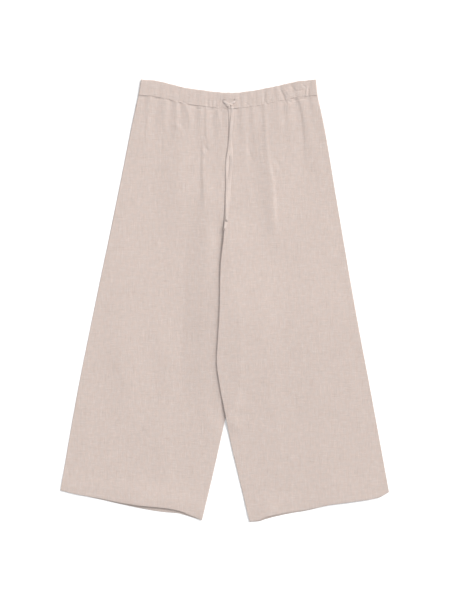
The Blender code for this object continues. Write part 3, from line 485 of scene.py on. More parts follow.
# The thread of the stitches and buttonholes.
THREAD_GRAIN, THREAD_DETAIL = 900.0, 2.0
THREAD_SHADE = 0.9
THREAD_ROUGHNESS = 0.7
THREAD_SHEEN = 0.2
THREAD_BUMP_STRENGTH = 0.3

# Floor, lights and camera. The camera's sizes are in millimetres.
FLOOR_SIZE = 6.0
FLOOR_Z = -0.1
FLOOR_WHITE = (0.94, 0.94, 0.94, 1.0)
FLOOR_ROUGHNESS = 0.9
AMBIENT = 0.59
AMBIENT_COLOUR = (0.97, 0.985, 1.0, 1.0)
SUNS = [
    # name, azimuth and elevation, strength, softness, colour
    ("key", (42.0, 27.0), 4.75, 34.0, (1.0, 0.985, 0.965)),
    ("fill", (200.0, 60.0), 0.5, 60.0, (1.0, 1.0, 1.0)),
]
SOFT_BOX_PLACE = (-360.0, 340.0, 650.0)
SOFT_BOX_SIZE, SOFT_BOX_POWER = 600.0, 0.34
CAMERA_SENSOR = 36.0
CAMERA_HEIGHT = 4000.0
PICTURE_HEIGHT = 1320.0
PICTURE_CENTRE = (0.55, 1.1)


def mix(start, end, share):
    return start + (end - start) * share


def step_between(value, start, end):
    """0 at start, 1 at end, with level ends."""
    t = np.clip((value - start) / (end - start), 0.0, 1.0)
    return t * t * (3.0 - 2.0 * t)


def bump(distance, width):
    return np.exp(-((distance / width) ** 2))


def unit(vectors):
    """The vectors at a length of one."""
    return vectors / np.maximum(np.linalg.norm(vectors, axis=-1, keepdims=True), NO_LENGTH)


def distance_along(path):
    """How far each of a path's points is from its start."""
    return np.concatenate([[0.0], np.cumsum(np.linalg.norm(np.diff(path, axis=0), axis=1))])


def waist_seam(x):
    """The seam of the waistband and the panels, one band's height below the top edge."""
    share = (x - SEAM_ENDS[0]) / (SEAM_ENDS[1] - SEAM_ENDS[0])
    return WAIST_TOP(mix(*TOP_ENDS, share)) - BAND_HEIGHT


def below_waist(x, y):
    """How far below the waistband's seam a point is, and 0 above it."""
    return np.maximum(waist_seam(x) - y, 0.0)


def on_left_leg(x, y):
    return x < (INNER_LEFT(y) + INNER_RIGHT(y)) / 2


def past_both_legs(x, y):
    """How far to the right of both inner edges a point is."""
    return x - np.maximum(INNER_LEFT(y), INNER_RIGHT(y))


def tucks(rows, x, distance):
    """Short ridges and furrows that start at an edge and fade as the distance from it grows."""
    total = np.zeros_like(x)
    for tuck in rows:
        middle = tuck.x + tuck.lean * distance
        width = tuck.width * (1.0 + TUCK_SPREAD * distance / tuck.reach)
        total = total + tuck.height * bump(x - middle, width) * bump(distance, tuck.reach)
    return total


def folds(x, y):
    """The sum of the large folds."""
    total = np.zeros_like(x)
    for one in FOLDS.values():
        aside = x - one.crest(y)
        half_width = np.where(aside < 0.0, one.left(y), one.right(y))
        total = total + one.height(y) * bump(aside, half_width)
    return total


def crotch_to_fork(y):
    """1 where one leg lies on the other, 0 well above the crotch and below the fork."""
    return step_between(y, *OVERLAP_Y_TOP) * step_between(y, *OVERLAP_Y_FORK)


def crotch_rise(y):
    """How far the left leg's front has risen where it goes under the right leg."""
    return CROTCH_RISE * step_between(y, *CROTCH_RISE_Y_TOP) * step_between(y, *CROTCH_RISE_Y_FORK)


def rise_to_overlap(x, y):
    """How far the left leg's front rises towards the right leg's inner edge and on below it."""
    share = np.clip((x - INNER_RIGHT(y)) / CROTCH_RISE_REACH + 1.0, 0.0, 1.0) ** CROTCH_RISE_POWER
    at_edge = step_between(INNER_LEFT(y) - x, *INNER_EDGE_FALL)
    return crotch_rise(y) * share * mix(1.0, at_edge, step_between(y, *INNER_EDGE_FALL_Y))


def back_lift(x, y):
    """How far the right leg's back is raised where it lies on the left leg, and down beyond it."""
    lift = OVERLAP_LIFT * crotch_to_fork(y) + crotch_rise(y)
    return lift * (1.0 - step_between(past_both_legs(x, y), *OVERLAP_MARGIN))


def front_lift(x, y):
    """The right front's lift: it comes down from the left leg over a far wider strip."""
    past, above_fork = past_both_legs(x, y), step_between(y, *OVERLAP_MARGIN_Y)
    start, end = OVERLAP_MARGIN_FRONT
    wide = (past - start) / (mix(OVERLAP_MARGIN_FORK, end, above_fork) - start)
    near, far = OVERLAP_STEP_MARGIN
    narrow = (past - near) / (mix(OVERLAP_MARGIN[1], far, above_fork) - near)
    step = OVERLAP_LIFT * crotch_to_fork(y) * (1.0 - step_between(narrow, 0.0, 1.0))
    return np.maximum(step + crotch_rise(y) * (1.0 - np.clip(wide, 0.0, 1.0)), back_lift(x, y))


def pressed(x, y):
    """1 on the strip of the left leg that lies under the right one, 0 away from it."""
    return step_between(x - INNER_RIGHT(y), *PRESSED_MARGIN) * crotch_to_fork(y)


def back_gathers(x, y):
    """How far the back's gathers rise off the surface: they end well above the crotch."""
    below = below_waist(x, y)
    return tucks(BACK_GATHERS, x, below) * (1.0 - step_between(below, *BACK_GATHERS_END))


def front_form(x, y, edge_distance):
    """How far the front stands off the back: loft, folds, gathers and lifted hems."""
    below = below_waist(x, y)
    hem = np.where(on_left_leg(x, y), HEM_LEFT_FRONT(x), HEM_RIGHT_FRONT(x))
    above_hem = np.maximum(y - hem, 0.0)
    form = LOFT * step_between(edge_distance, 0.0, LOFT_EDGE)
    form = form + folds(x, y) * step_between(edge_distance, 0.0, FOLD_EDGE)
    form = form + WAIST_RISE * bump(below, WAIST_RISE_REACH)
    form = form + tucks(GATHERS, x, below) + tucks(HEM_LIFTS, x, above_hem)
    return np.maximum(form, OVER_GATHERS * back_gathers(x, y))


# --- Heights of the fine cloth -------------------------------------------------------------------


def spline_weights(t):
    """The four weights of a cubic B-spline at t between its middle two points."""
    return (
        (1 - t) ** 3 / 6,
        (3 * t**3 - 6 * t**2 + 4) / 6,
        (-3 * t**3 + 3 * t**2 + 3 * t + 1) / 6,
        t**3 / 6,
    )


def undulation(x, y, cell, seed):
    """Smooth seeded waves of about one cell's size, between -1 and 1."""
    lattice = np.random.default_rng(seed).uniform(-1.0, 1.0, (LATTICE, LATTICE))
    u, v = x / cell + LATTICE_SHIFT, y / cell + LATTICE_SHIFT
    column, row = np.floor(u).astype(int), np.floor(v).astype(int)
    total = np.zeros_like(x)
    for i, across in enumerate(spline_weights(u - column)):
        for j, along in enumerate(spline_weights(v - row)):
            total = total + across * along * lattice[(row + j) % LATTICE, (column + i) % LATTICE]
    return total


def waves(x, y):
    return sum(wave.height * undulation(x, y, wave.cell, wave.seed) for wave in WAVES)


def pinches(x, y):
    """The small creases and dimples."""
    total = np.zeros_like(x)
    for pinch in PINCHES:
        turn = np.radians(pinch.angle)
        along = (x - pinch.x) * np.cos(turn) + (y - pinch.y) * np.sin(turn)
        aside = (y - pinch.y) * np.cos(turn) - (x - pinch.x) * np.sin(turn)
        total = total + pinch.height * bump(along, pinch.length) * bump(aside, pinch.width)
    return total


def pleats(x, y):
    """Fine uneven pleats that run down from the waist's seam."""
    height = PLEAT_HEIGHT * DRAWN(x) * undulation(x, 0.0 * x, PLEAT_CELL, PLEAT_SEED)
    uneven = undulation(x, 0.0 * x, PLEAT_REACH_CELL, PLEAT_SEED + 1)
    reach = PLEAT_REACH * (PLEAT_REACH_SHARE + uneven)
    return height * bump(below_waist(x, y), np.maximum(reach, PLEAT_CELL))


def curl(distance):
    """1 at an edge and 0 a little inside it, in a quarter round."""
    share = 1.0 - np.clip(distance / CURL, 0.0, 1.0)
    return 1.0 - np.sqrt(1.0 - share**2)


def below_crotch(y):
    return step_between(y, *CROTCH_Y)


def hem_zone(distance):
    """1 along a hem, where the cloth is turned up, and 0 further up the leg."""
    return 1.0 - step_between(distance, *HEM_ZONE)


def left_back_height(x, y):
    return BACK_MIDDLE + back_gathers(x, y)


def right_back_height(x, y):
    return BACK_MIDDLE + back_gathers(x, y) + back_lift(x, y)


def fine_form(x, y, edge_distance):
    """The front's form with its fine creases, and level along its edges."""
    inside = step_between(edge_distance, 0.0, LOFT_EDGE)
    fine = waves(x, y) * inside + pinches(x, y) + pleats(x, y)
    return front_form(x, y, edge_distance) + fine


def curled_front(x, y, height, side, inner, hem, back):
    """The front's height, brought down to the back along the side seam and the inner leg, and
    with the centre seam dipped in."""
    near_hem = hem_zone(y - hem)
    height = height + (HEM_STACK - FRONT_MIDDLE) * near_hem
    edge = mix(back + CLOTH + LAYER, back - BACK_MIDDLE + HEM_STACK, near_hem)
    fall = np.maximum(curl(side), curl(inner) * below_crotch(y))
    dip = SEAM_DIP * bump(inner, SEAM_DIP_WIDTH) * (1.0 - below_crotch(y))
    return mix(height, edge, fall) - dip


def left_front_height(x, y):
    side, inner = x - SIDE_LEFT(y), INNER_LEFT(y) - x
    form = fine_form(x, y, side) + SIDE_RISE(y) * bump(side, SIDE_RISE_REACH)
    height = mix(FRONT_MIDDLE + form, PRESSED_MIDDLE, pressed(x, y)) + rise_to_overlap(x, y)
    return curled_front(x, y, height, side, inner, HEM_LEFT_FRONT(x), left_back_height(x, y))


def right_front_height(x, y):
    side, inner = SIDE_RIGHT(y) - x, x - INNER_RIGHT(y)
    height = FRONT_MIDDLE + fine_form(x, y, side) + front_lift(x, y)
    return curled_front(x, y, height, side, inner, HEM_RIGHT_FRONT(x), right_back_height(x, y))


def puckers(rows, x, y):
    """How deep the waistband's furrows are."""
    above_seam = y - waist_seam(x)
    total = np.zeros_like(x)
    for pucker in rows:
        total = total + pucker.depth * bump(x - pucker.x - pucker.lean * above_seam, pucker.width)
    return total


def band_face(x, y):
    """The upper face of the waistband's front."""
    above_seam = y - waist_seam(x)
    drift = BAND_PLEAT_DRIFT * above_seam
    pleat = BAND_PLEAT_HEIGHT * DRAWN(x) * undulation(x, drift, PLEAT_CELL, BAND_PLEAT_SEED)
    plate = PLATE_RISE * step_between(PLATE_HALF[0] - np.abs(x - PLATE_MIDDLE[0]), 0.0, PLATE_EDGE)
    plate = plate * step_between(PLATE_HALF[1] - np.abs(y - PLATE_MIDDLE[1]), 0.0, PLATE_EDGE)
    return BAND_HIGH - puckers(PUCKERS, x, y) + pleat + pinches(x, y) + plate


def front_top(x, y):
    """The upper surface of the front panels and the waistband, which the ties lie on."""
    panels = np.where(on_left_leg(x, y), left_front_height(x, y), right_front_height(x, y)) + CLOTH / 2
    return np.where(y > waist_seam(x), np.maximum(band_face(x, y), panels), panels)


# --- Meshes --------------------------------------------------------------------------------------


def add_object(name, data):
    """A new object in the scene, of a mesh, a lamp or a lens."""
    added = bpy.data.objects.new(name, data)
    bpy.context.scene.collection.objects.link(added)
    return added


def add_mesh(name, points, faces, material, uv=None):
    """A smooth piece of one material, from points in millimetres."""
    mesh = bpy.data.meshes.new(name)
    mesh.from_pydata((points.reshape(-1, 3) * MM).tolist(), [], faces)
    if uv is not None:
        mesh.uv_layers.new(name=CLOTH_UV).data.foreach_set("uv", (uv * MM).ravel())
    mesh.shade_smooth()
    mesh.materials.append(material)
    return add_object(name, mesh)


def woven_mesh(name, points, cloth, material, tube=False):
    """An object from a grid of points and the cloth's own coordinates, as a sheet or a capped tube."""
    rows, columns = points.shape[:2]
    steps = columns if tube else columns - 1
    row, column = np.meshgrid(np.arange(rows - 1), np.arange(steps), indexing="ij")
    corner_row = np.stack([row, row, row + 1, row + 1], -1).reshape(-1, 4)
    corner_column = np.stack([column, column + 1, column + 1, column], -1).reshape(-1, 4)
    faces = (corner_row * columns + corner_column % columns).tolist()
    uv = cloth[corner_row, corner_column].reshape(-1, 2)
    if tube:
        first = np.arange(columns)
        faces += [first[::-1].tolist(), (first + (rows - 1) * columns).tolist()]
        uv = np.vstack([uv, cloth[0, first[::-1]], cloth[-1, first]])
    return add_mesh(name, points, faces, material, uv)


def dress(piece, slot, *nodes):
    """The piece rides on the garment and hides the CAD nodes that it replaces; its slot is not used."""
    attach(piece, "root")
    if nodes:
        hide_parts(*nodes)
    return piece


def panel_place(panel):
    """The panel's patch: rows between its two long edges, bowed to the waist and to the hem."""
    left, right = panel.left, panel.right

    def between_edges(y_left, y_right, across):
        return mix(left(y_left) + SEAM_GAP / 2, right(y_right) - SEAM_GAP / 2, across)

    def place(across, up):
        y_left, y_right = mix(left.low, left.high, up), mix(right.low, right.high, up)
        at_waist = waist_seam(between_edges(left.high, right.high, across)) + WAIST_TUCK
        at_hem = panel.hem(between_edges(left.low, right.low, across))
        waist_bow = at_waist - mix(left.high, right.high, across)
        hem_bow = at_hem - mix(left.low, right.low, across)
        y = mix(y_left, y_right, across) + waist_bow * up + hem_bow * (1.0 - up)
        return between_edges(y_left, y_right, across), y

    return place


def add_panel(name, node, panel, mesh_size, material):
    """A leg's panel: a fine sheet with its hem turned up inside, thickened on both sides."""
    columns, rows = mesh_size
    place = panel_place(panel)
    height_mm = panel.left.high - panel.left.low
    edges = np.array(EDGE_COLUMNS) / (panel.right(0.0) - panel.left(0.0))
    middle = np.linspace(edges[-1], 1.0 - edges[-1], columns)[1:-1]
    across = np.concatenate([edges, middle, 1.0 - edges[::-1]])
    up = 1.0 - (1.0 - np.linspace(0.0, 1.0, rows)) ** ROW_CROWDING
    turned_up = np.linspace(HEM_TURN_UP / height_mm, 0.0, HEM_ARC_STEPS + 2)
    arc = np.linspace(np.pi, 0.0, HEM_ARC_STEPS + 2)[1:-1]
    row_up = np.concatenate([turned_up, 0.0 * arc, up])
    row_turn = np.concatenate([0.0 * turned_up + np.pi, arc, 0.0 * up])
    grid_across, grid_up = np.meshgrid(across, row_up)
    turn = np.repeat(row_turn[:, None], len(across), axis=1)
    x, y = place(grid_across, grid_up)
    z = panel.height(x, y) + panel.inside * HEM_RADIUS * (1.0 - np.cos(turn))
    points = np.stack([x, y - HEM_RADIUS * np.sin(turn), z], -1)
    hem = place(grid_across, 0.0 * grid_up)[1]
    cloth = np.stack([x, np.where(turn > np.pi / 2, 2 * hem - y, y)], -1)
    piece = woven_mesh(name, points, cloth, material)
    thicken = piece.modifiers.new("cloth", "SOLIDIFY")
    thicken.thickness = CLOTH * MM
    thicken.offset = 0.0
    return dress(piece, "linen", node)


def band_profile(rounding_at_seam, rounding_at_top):
    """(share of the band's height, share of its half thickness) up one face, with rounded ends."""
    quarter = np.linspace(0.0, np.pi / 2, ROUNDING_STEPS)
    low = rounding_at_seam / BAND_HEIGHT * (1.0 - np.cos(quarter))
    high = 1.0 - rounding_at_top / BAND_HEIGHT * (1.0 - np.sin(quarter))
    up = np.concatenate([low, np.linspace(low[-1], high[0], BAND_FACE_ROWS)[1:-1], high])
    middle = np.ones(BAND_FACE_ROWS - 2)
    share = np.concatenate([mix(BAND_SEAM_SHARE, 1.0, np.sin(quarter)), middle, np.cos(quarter)])
    return up, share


def add_band(name, node, low_face, high_face, furrows, seed, material):
    """Half of the waistband: a casing with rounded edges, closed at its ends over the side seams."""
    up, share = band_profile(BAND_SEAM_ROUNDING, BAND_TOP_ROUNDING)
    up = np.concatenate([up, up[::-1][1:-1]])
    face = np.concatenate([-share, share[::-1][1:-1]])
    along = np.linspace(0.0, 1.0, BAND_COLUMNS)
    grid_up, grid_along = np.meshgrid(up, along)
    left, right = (mix(seam, top, grid_up) for seam, top in zip(SEAM_ENDS, TOP_ENDS))
    x = mix(left, right, grid_along)
    top = WAIST_TOP(mix(*TOP_ENDS, grid_along))
    scallop = SCALLOP * DRAWN(x) * undulation(x, 0.0 * x, PLEAT_CELL, seed) - puckers(furrows, x, top)
    y = top - BAND_HEIGHT * (1.0 - grid_up) + SEAM_GAP / 2 * (1.0 - grid_up)
    y = y + scallop * grid_up**SCALLOP_POWER
    to_end = np.minimum(grid_along, 1.0 - grid_along) * (SEAM_ENDS[1] - SEAM_ENDS[0])
    end = np.sqrt(1.0 - (1.0 - np.clip(to_end / BAND_END_ROUNDING, 0.0, 1.0)) ** 2)
    low, high = low_face(x, y, end), high_face(x, y, end)
    middle = (low + high) / 2
    z = middle + (high - low) / 2 * face
    cloth_length = np.cumsum(np.full(len(up) + 1, 2 * BAND_HEIGHT / len(up)))
    points = np.stack([x, y, z], -1)
    cloth_x = np.repeat(BAND_GATHER * x[:, :1], len(up) + 1, axis=1)
    cloth = np.stack([cloth_x, np.broadcast_to(cloth_length, cloth_x.shape)], -1)
    return dress(woven_mesh(name, points, cloth, material, tube=True), "linen", node)


def rounded_section(width, thickness, sides):
    """The points round a flat strip's section, as (sideways, upwards)."""
    angle = np.linspace(0.0, 2 * np.pi, sides, endpoint=False)
    sideways = np.sign(np.cos(angle)) * np.abs(np.cos(angle)) ** STRIP_ROUNDING[0]
    upwards = np.sign(np.sin(angle)) * np.abs(np.sin(angle)) ** STRIP_ROUNDING[1]
    return sideways * width / 2, upwards * thickness / 2


def add_strip(name, path, width, thickness, roll, material, nodes):
    """A flat strip of the drawstring along a path: width, thickness and roll (in radians) are one
    for each point."""
    forward = unit(np.gradient(path, axis=0))
    side = unit(np.cross(forward, (0.0, 0.0, 1.0)))
    upward = np.cross(side, forward)
    turned_side = side * np.cos(roll)[:, None] + upward * np.sin(roll)[:, None]
    turned_up = np.cross(turned_side, forward)
    across, over = rounded_section(1.0, 1.0, TUBE_SIDES)
    ring = (
        turned_side[:, None, :] * (across[None, :] * width[:, None])[..., None]
        + turned_up[:, None, :] * (over[None, :] * thickness[:, None])[..., None]
    )
    points = path[:, None, :] + ring
    around = np.linspace(0.0, 2 * TIE_WIDTH, TUBE_SIDES + 1)
    cloth = np.stack(np.meshgrid(around, distance_along(path)), -1)
    return dress(woven_mesh(name, points, cloth, material, tube=True), "drawstring", *nodes)


# --- The drawstring ------------------------------------------------------------------------------


def through(rows, spacing):
    """Points on a smooth curve through every row of a table, about evenly spaced along it."""
    rows = np.array(rows, float)
    padded = np.vstack([2 * rows[0] - rows[1], rows, 2 * rows[-1] - rows[-2]])
    pieces = []
    for before, start, end, after in zip(padded, padded[1:], padded[2:], padded[3:]):
        steps = max(2, int(np.linalg.norm((end - start)[:3]) / spacing))
        t = np.linspace(0.0, 1.0, steps, endpoint=False)[:, None]
        pieces.append(
            start
            + t * (end - before) / 2
            + t**2 * (2 * before - 5 * start + 4 * end - after) / 2
            + t**3 * (3 * start - before - 3 * end + after) / 2
        )
    return np.vstack([*pieces, rows[-1:]])


def smooth_route(route, spacing):
    """Evenly spaced points on a smooth curve through a route's own points."""
    route = np.array(route, float)
    along = distance_along(route)
    count = int(round(along[-1] / spacing)) + 1
    at = np.linspace(0.0, along[-1], count)
    return np.column_stack([Line(zip(along, column))(at) for column in route.T])


def resting_height(x, y, width, length):
    """The highest of the cloth under a small flat patch."""
    sideways = PATCH_REACH[0] * np.linspace(-width, width, PATCH_POINTS[0])
    lengthways = PATCH_REACH[1] * np.linspace(-length, length, PATCH_POINTS[1])
    over_x, over_y = np.meshgrid(sideways, lengthways)
    return front_top(x + over_x.ravel(), y + over_y.ravel()).max()


def over_left_tie(x, y):
    """1 where a tie at this point would lie on the left tie, 0 clear of it."""
    across = np.abs(x - Line([(py, px) for px, py in TIE_ROUTES["left"]])(y))
    return 1.0 - step_between(across, *TIE_CLEAR_OF_TIE)


def tie_path(name):
    """The tie's middle line, on through the knot in its tip to a short tail."""
    flat = smooth_route(TIE_ROUTES[name], TIE_POINT_SPACING)
    heading = unit(flat[-1] - flat[-2])
    beyond = np.arange(1, int(TIE_TAIL / TIE_POINT_SPACING) + 1) * TIE_POINT_SPACING
    flat = np.vstack([flat, flat[-1] + heading * beyond[:, None]])
    heights = np.array([resting_height(x, y, TIE_WIDTH, 2 * TIE_POINT_SPACING) for x, y in flat])
    padded = np.pad(heights, TIE_SMOOTHING, mode="edge")
    window = np.ones(2 * TIE_SMOOTHING + 1) / (2 * TIE_SMOOTHING + 1)
    heights = np.convolve(padded, window, mode="valid") + TIE_CLEARANCE + TIE_THICKNESS / 2
    if name == "right":
        heights = heights + (TIE_THICKNESS + TIE_CLEARANCE) * over_left_tie(*flat.T)
    return np.column_stack([flat, heights])


def add_tie(name, material):
    """One free end of the drawstring with the knot in its tip, as a flat strip."""
    path = tie_path(name)
    along = distance_along(path)
    knot_at = along[-1] - TIE_TAIL + END_KNOT_BEYOND
    at_top = 1.0 - step_between(along, 0.0, TIE_SPREAD)
    at_knot = bump(along - knot_at, TIE_PINCH_REACH)
    width = TIE_WIDTH * (1.0 - TIE_TOP_PINCH * at_top - TIE_KNOT_PINCH * at_knot)
    thickness = TIE_THICKNESS * (1.0 + TIE_BUNCHING * np.maximum(at_top, at_knot))
    roll = np.radians(TIE_ROLLS[name](along))
    tie = add_strip(f"tie_{name}_cloth", path, width, thickness, roll, material, [f"tie_{name}"])
    centre = [np.interp(knot_at, along, column) for column in path.T]
    knot = add_end_knot(name, centre, material)


def add_end_knot(name, centre, material):
    """A small overhand knot pulled tight: a trefoil of folded cloth round the tie."""
    turn = np.linspace(0.0, 2 * np.pi, END_KNOT_POINTS)
    reach = np.array(END_KNOT_SIZE) - END_KNOT_STRAND / 2
    path = np.column_stack([
        reach[0] * (np.sin(turn) + 2 * np.sin(2 * turn)) / 3,
        reach[1] * (np.cos(turn) - 2 * np.cos(2 * turn)) / 3,
        -reach[2] * np.sin(3 * turn),
    ])
    path = path + np.array(centre) + (0.0, 0.0, END_KNOT_RISE)
    width = np.full(END_KNOT_POINTS, END_KNOT_STRAND)
    thickness = END_KNOT_FLATNESS * width
    nodes = [f"tie_end_{name}"]
    return add_strip(f"tie_end_{name}_cloth", path, width, thickness, 0.0 * width, material, nodes)


def add_knot(material):
    """The drawstring comes out of its two buttonholes and is knotted once."""
    for name, rows in KNOT_STRANDS.items():
        points = through(rows, KNOT_POINT_SPACING)
        nodes = ["drawstring_knot"] if name == "wrap" else []
        path, width, thickness = points[:, :3], points[:, 3], points[:, 4]
        add_strip(f"knot_{name}_cloth", path, width, thickness, 0.0 * width, material, nodes)


def add_buttonhole(name, centre, material):
    """A worked buttonhole: a long ring of thread, ribbed by its stitches."""
    turn = np.linspace(0.0, 2 * np.pi, BUTTONHOLE_POINTS, endpoint=False)
    around = np.linspace(0.0, -2 * np.pi, BUTTONHOLE_SIDES, endpoint=False)
    turn, around = np.meshgrid(turn, around, indexing="ij")
    rib = BUTTONHOLE_THREAD * (1.0 + BUTTONHOLE_RIB * np.cos(BUTTONHOLE_STITCHES * turn))
    sideways = (BUTTONHOLE_SIZE[0] + rib * np.cos(around)) * np.cos(turn)
    lengthways = (BUTTONHOLE_SIZE[1] + rib * np.cos(around)) * np.sin(turn)
    x, y = centre[0] + sideways, centre[1] + lengthways
    z = band_face(x, y) + BUTTONHOLE_RISE - rib * np.sin(around)
    points = np.stack([x, y, z], -1)
    points = np.concatenate([points, points[:1]])
    cloth = np.zeros((BUTTONHOLE_POINTS + 1, BUTTONHOLE_SIDES + 1, 2))
    return dress(woven_mesh(f"buttonhole_{name}", points, cloth, material, tube=True), "linen")


def add_stitches(name, material):
    """The waistband's short sunken stitches in one mesh: each is a thin rod with tapered ends."""
    share = np.linspace(0.0, np.pi, STITCH_RINGS)
    swell = np.maximum(np.sin(share), STITCH_TAPER)
    around = np.linspace(0.0, 2 * np.pi, STITCH_SIDES, endpoint=False)
    starts = np.arange(SEAM_ENDS[0] + STITCH_MARGIN, SEAM_ENDS[1] - STITCH_MARGIN, STITCH_PITCH)
    rods, faces = [], []
    for start in starts:
        x = start + STITCH_LENGTH * np.linspace(0.0, 1.0, STITCH_RINGS)
        y = waist_seam(x) + STITCH_ABOVE_SEAM
        middle = np.column_stack([x, y, band_face(x, y) - STITCH_SUNK * (1.0 - np.sin(share))])
        ring = swell[:, None] * STITCH_THREAD / 2
        sides = np.stack([0.0 * ring * around, ring * np.cos(around), ring * np.sin(around)], -1)
        first = len(rods) * STITCH_RINGS * STITCH_SIDES
        rods.append(middle[:, None, :] + sides)
        for i in range(STITCH_RINGS - 1):
            for j in range(STITCH_SIDES):
                ring_start = first + i * STITCH_SIDES
                a, b = ring_start + j, ring_start + (j + 1) % STITCH_SIDES
                faces.append((a, a + STITCH_SIDES, b + STITCH_SIDES, b))
        last = first + (STITCH_RINGS - 1) * STITCH_SIDES
        faces.append(tuple(range(first, first + STITCH_SIDES)))
        faces.append(tuple(range(last, last + STITCH_SIDES))[::-1])
    return dress(add_mesh(name, np.concatenate(rods), faces, material), "linen")


# --- Materials -----------------------------------------------------------------------------------


class Nodes:
    """Short names for building a material's node tree."""

    def __init__(self, name):
        self.material = bpy.data.materials.new(name)
        self.material.use_nodes = True
        self.tree = self.material.node_tree
        self.shader = self.tree.nodes["Principled BSDF"]

    def add(self, kind, inputs=(), **settings):
        node = self.tree.nodes.new(kind)
        for key, value in settings.items():
            setattr(node, key, value)
        for key, value in dict(inputs).items():
            if isinstance(value, bpy.types.NodeSocket):
                self.tree.links.new(value, node.inputs[key])
            else:
                node.inputs[key].default_value = value
        return node

    def math(self, operation, first, second=0.0, third=0.0):
        node = self.add("ShaderNodeMath", {0: first, 1: second, 2: third}, operation=operation)
        return node.outputs[0]

    def stretched_noise(self, place, per_metre, detail, offset):
        """Noise whose grains are long one way: per_metre is how many of them there are each way."""
        scaled = self.add(
            "ShaderNodeVectorMath",
            {0: place, 1: (*per_metre, 0.0), 2: (*offset, 0.0)},
            operation="MULTIPLY_ADD",
        )
        noise = self.add(
            "ShaderNodeTexNoise",
            {"Vector": scaled.outputs[0], "Scale": 1.0, "Detail": detail, "Roughness": NOISE_ROUGHNESS},
            noise_dimensions="2D",
        )
        return noise.outputs["Fac"]

    def between(self, value, low, high):
        """0 where the value is under low, 1 over high, smooth between."""
        node = self.add(
            "ShaderNodeMapRange",
            {"Value": value, "From Min": low, "From Max": high},
            interpolation_type="SMOOTHSTEP",
        )
        return node.outputs["Result"]

    def bumped(self, height, strength):
        """Gives the shader a relief of this height."""
        inputs = {"Height": height, "Strength": strength, "Distance": BUMP_DISTANCE}
        relief = self.add("ShaderNodeBump", inputs)
        self.tree.links.new(relief.outputs["Normal"], self.shader.inputs["Normal"])


def linen_material(name, dark, base, light, slub_depth):
    """Plain-woven linen: fine threads both ways, with lighter and darker slubs along them."""
    nodes = Nodes(name)
    place = nodes.add("ShaderNodeUVMap", uv_map=CLOTH_UV).outputs["UV"]
    split = nodes.add("ShaderNodeSeparateXYZ", {"Vector": place})
    threads = 2 * np.pi * THREADS_PER_METRE
    warp = nodes.math("SINE", nodes.math("MULTIPLY", split.outputs["X"], threads))
    weft = nodes.math("SINE", nodes.math("MULTIPLY", split.outputs["Y"], threads))
    weave = nodes.math("MULTIPLY", warp, weft)
    total = MIDDLE_TONE
    slubs = 0.0
    for across, along, sign, offset, low in SLUBS:
        grain = nodes.stretched_noise(place, (across, along), SLUB_DETAIL, (offset, offset))
        slub = nodes.between(grain, low, low + SLUB_EDGE)
        total = nodes.math("MULTIPLY_ADD", slub, sign * slub_depth, total)
        slubs = nodes.math("MAXIMUM", slub, slubs)
    mottle = nodes.math("SUBTRACT", nodes.stretched_noise(place, *MOTTLE), MIDDLE_TONE)
    yarn = nodes.math("SUBTRACT", nodes.stretched_noise(place, *YARN), MIDDLE_TONE)
    total = nodes.math("MULTIPLY_ADD", mottle, MOTTLE_DEPTH, total)
    total = nodes.math("MULTIPLY_ADD", yarn, YARN_DEPTH, total)
    total = nodes.math("MULTIPLY_ADD", weave, WEAVE_DEPTH, total)
    ramp = nodes.add("ShaderNodeValToRGB", {"Fac": total})
    ramp.color_ramp.elements[0].color = (*dark, 1.0)
    ramp.color_ramp.elements[1].color = (*light, 1.0)
    middle = ramp.color_ramp.elements.new(MIDDLE_TONE)
    middle.color = (*base, 1.0)
    hue = nodes.between(nodes.stretched_noise(place, *HUE), *HUE_RANGE)
    tints = {0: hue, 6: HUE_TINTS[0], 7: HUE_TINTS[1]}
    tinted = nodes.add("ShaderNodeMix", tints, data_type="RGBA")
    colour = nodes.add(
        "ShaderNodeMix",
        {0: 1.0, 6: ramp.outputs["Color"], 7: tinted.outputs[2]},
        data_type="RGBA",
        blend_type="MULTIPLY",
    )
    nodes.tree.links.new(colour.outputs[2], nodes.shader.inputs["Base Color"])
    rough = nodes.math("MULTIPLY_ADD", slubs, ROUGHNESS[1] - ROUGHNESS[0], ROUGHNESS[0])
    nodes.tree.links.new(rough, nodes.shader.inputs["Roughness"])
    relief = nodes.math("MULTIPLY_ADD", slubs, SLUB_RELIEF, nodes.math("MULTIPLY", weave, WEAVE_RELIEF))
    nodes.bumped(relief, BUMP_STRENGTH)
    nodes.shader.inputs["Sheen Weight"].default_value = SHEEN
    nodes.shader.inputs["Sheen Roughness"].default_value = SHEEN_ROUGHNESS
    nodes.shader.inputs["Specular IOR Level"].default_value = SPECULAR
    return nodes.material


def thread_material(name, colour):
    """Twisted sewing thread in the cloth's own colour."""
    nodes = Nodes(name)
    place = nodes.add("ShaderNodeTexCoord").outputs["Object"]
    inputs = {"Vector": place, "Scale": THREAD_GRAIN, "Detail": THREAD_DETAIL}
    grain = nodes.add("ShaderNodeTexNoise", inputs).outputs["Fac"]
    dark = tuple(THREAD_SHADE * channel for channel in colour)
    tints = {0: grain, 6: (*dark, 1.0), 7: (*colour, 1.0)}
    mixed = nodes.add("ShaderNodeMix", tints, data_type="RGBA")
    nodes.tree.links.new(mixed.outputs[2], nodes.shader.inputs["Base Color"])
    nodes.bumped(grain, THREAD_BUMP_STRENGTH)
    nodes.shader.inputs["Roughness"].default_value = THREAD_ROUGHNESS
    nodes.shader.inputs["Sheen Weight"].default_value = THREAD_SHEEN
    return nodes.material


# --- Stage, lights and camera --------------------------------------------------------------------


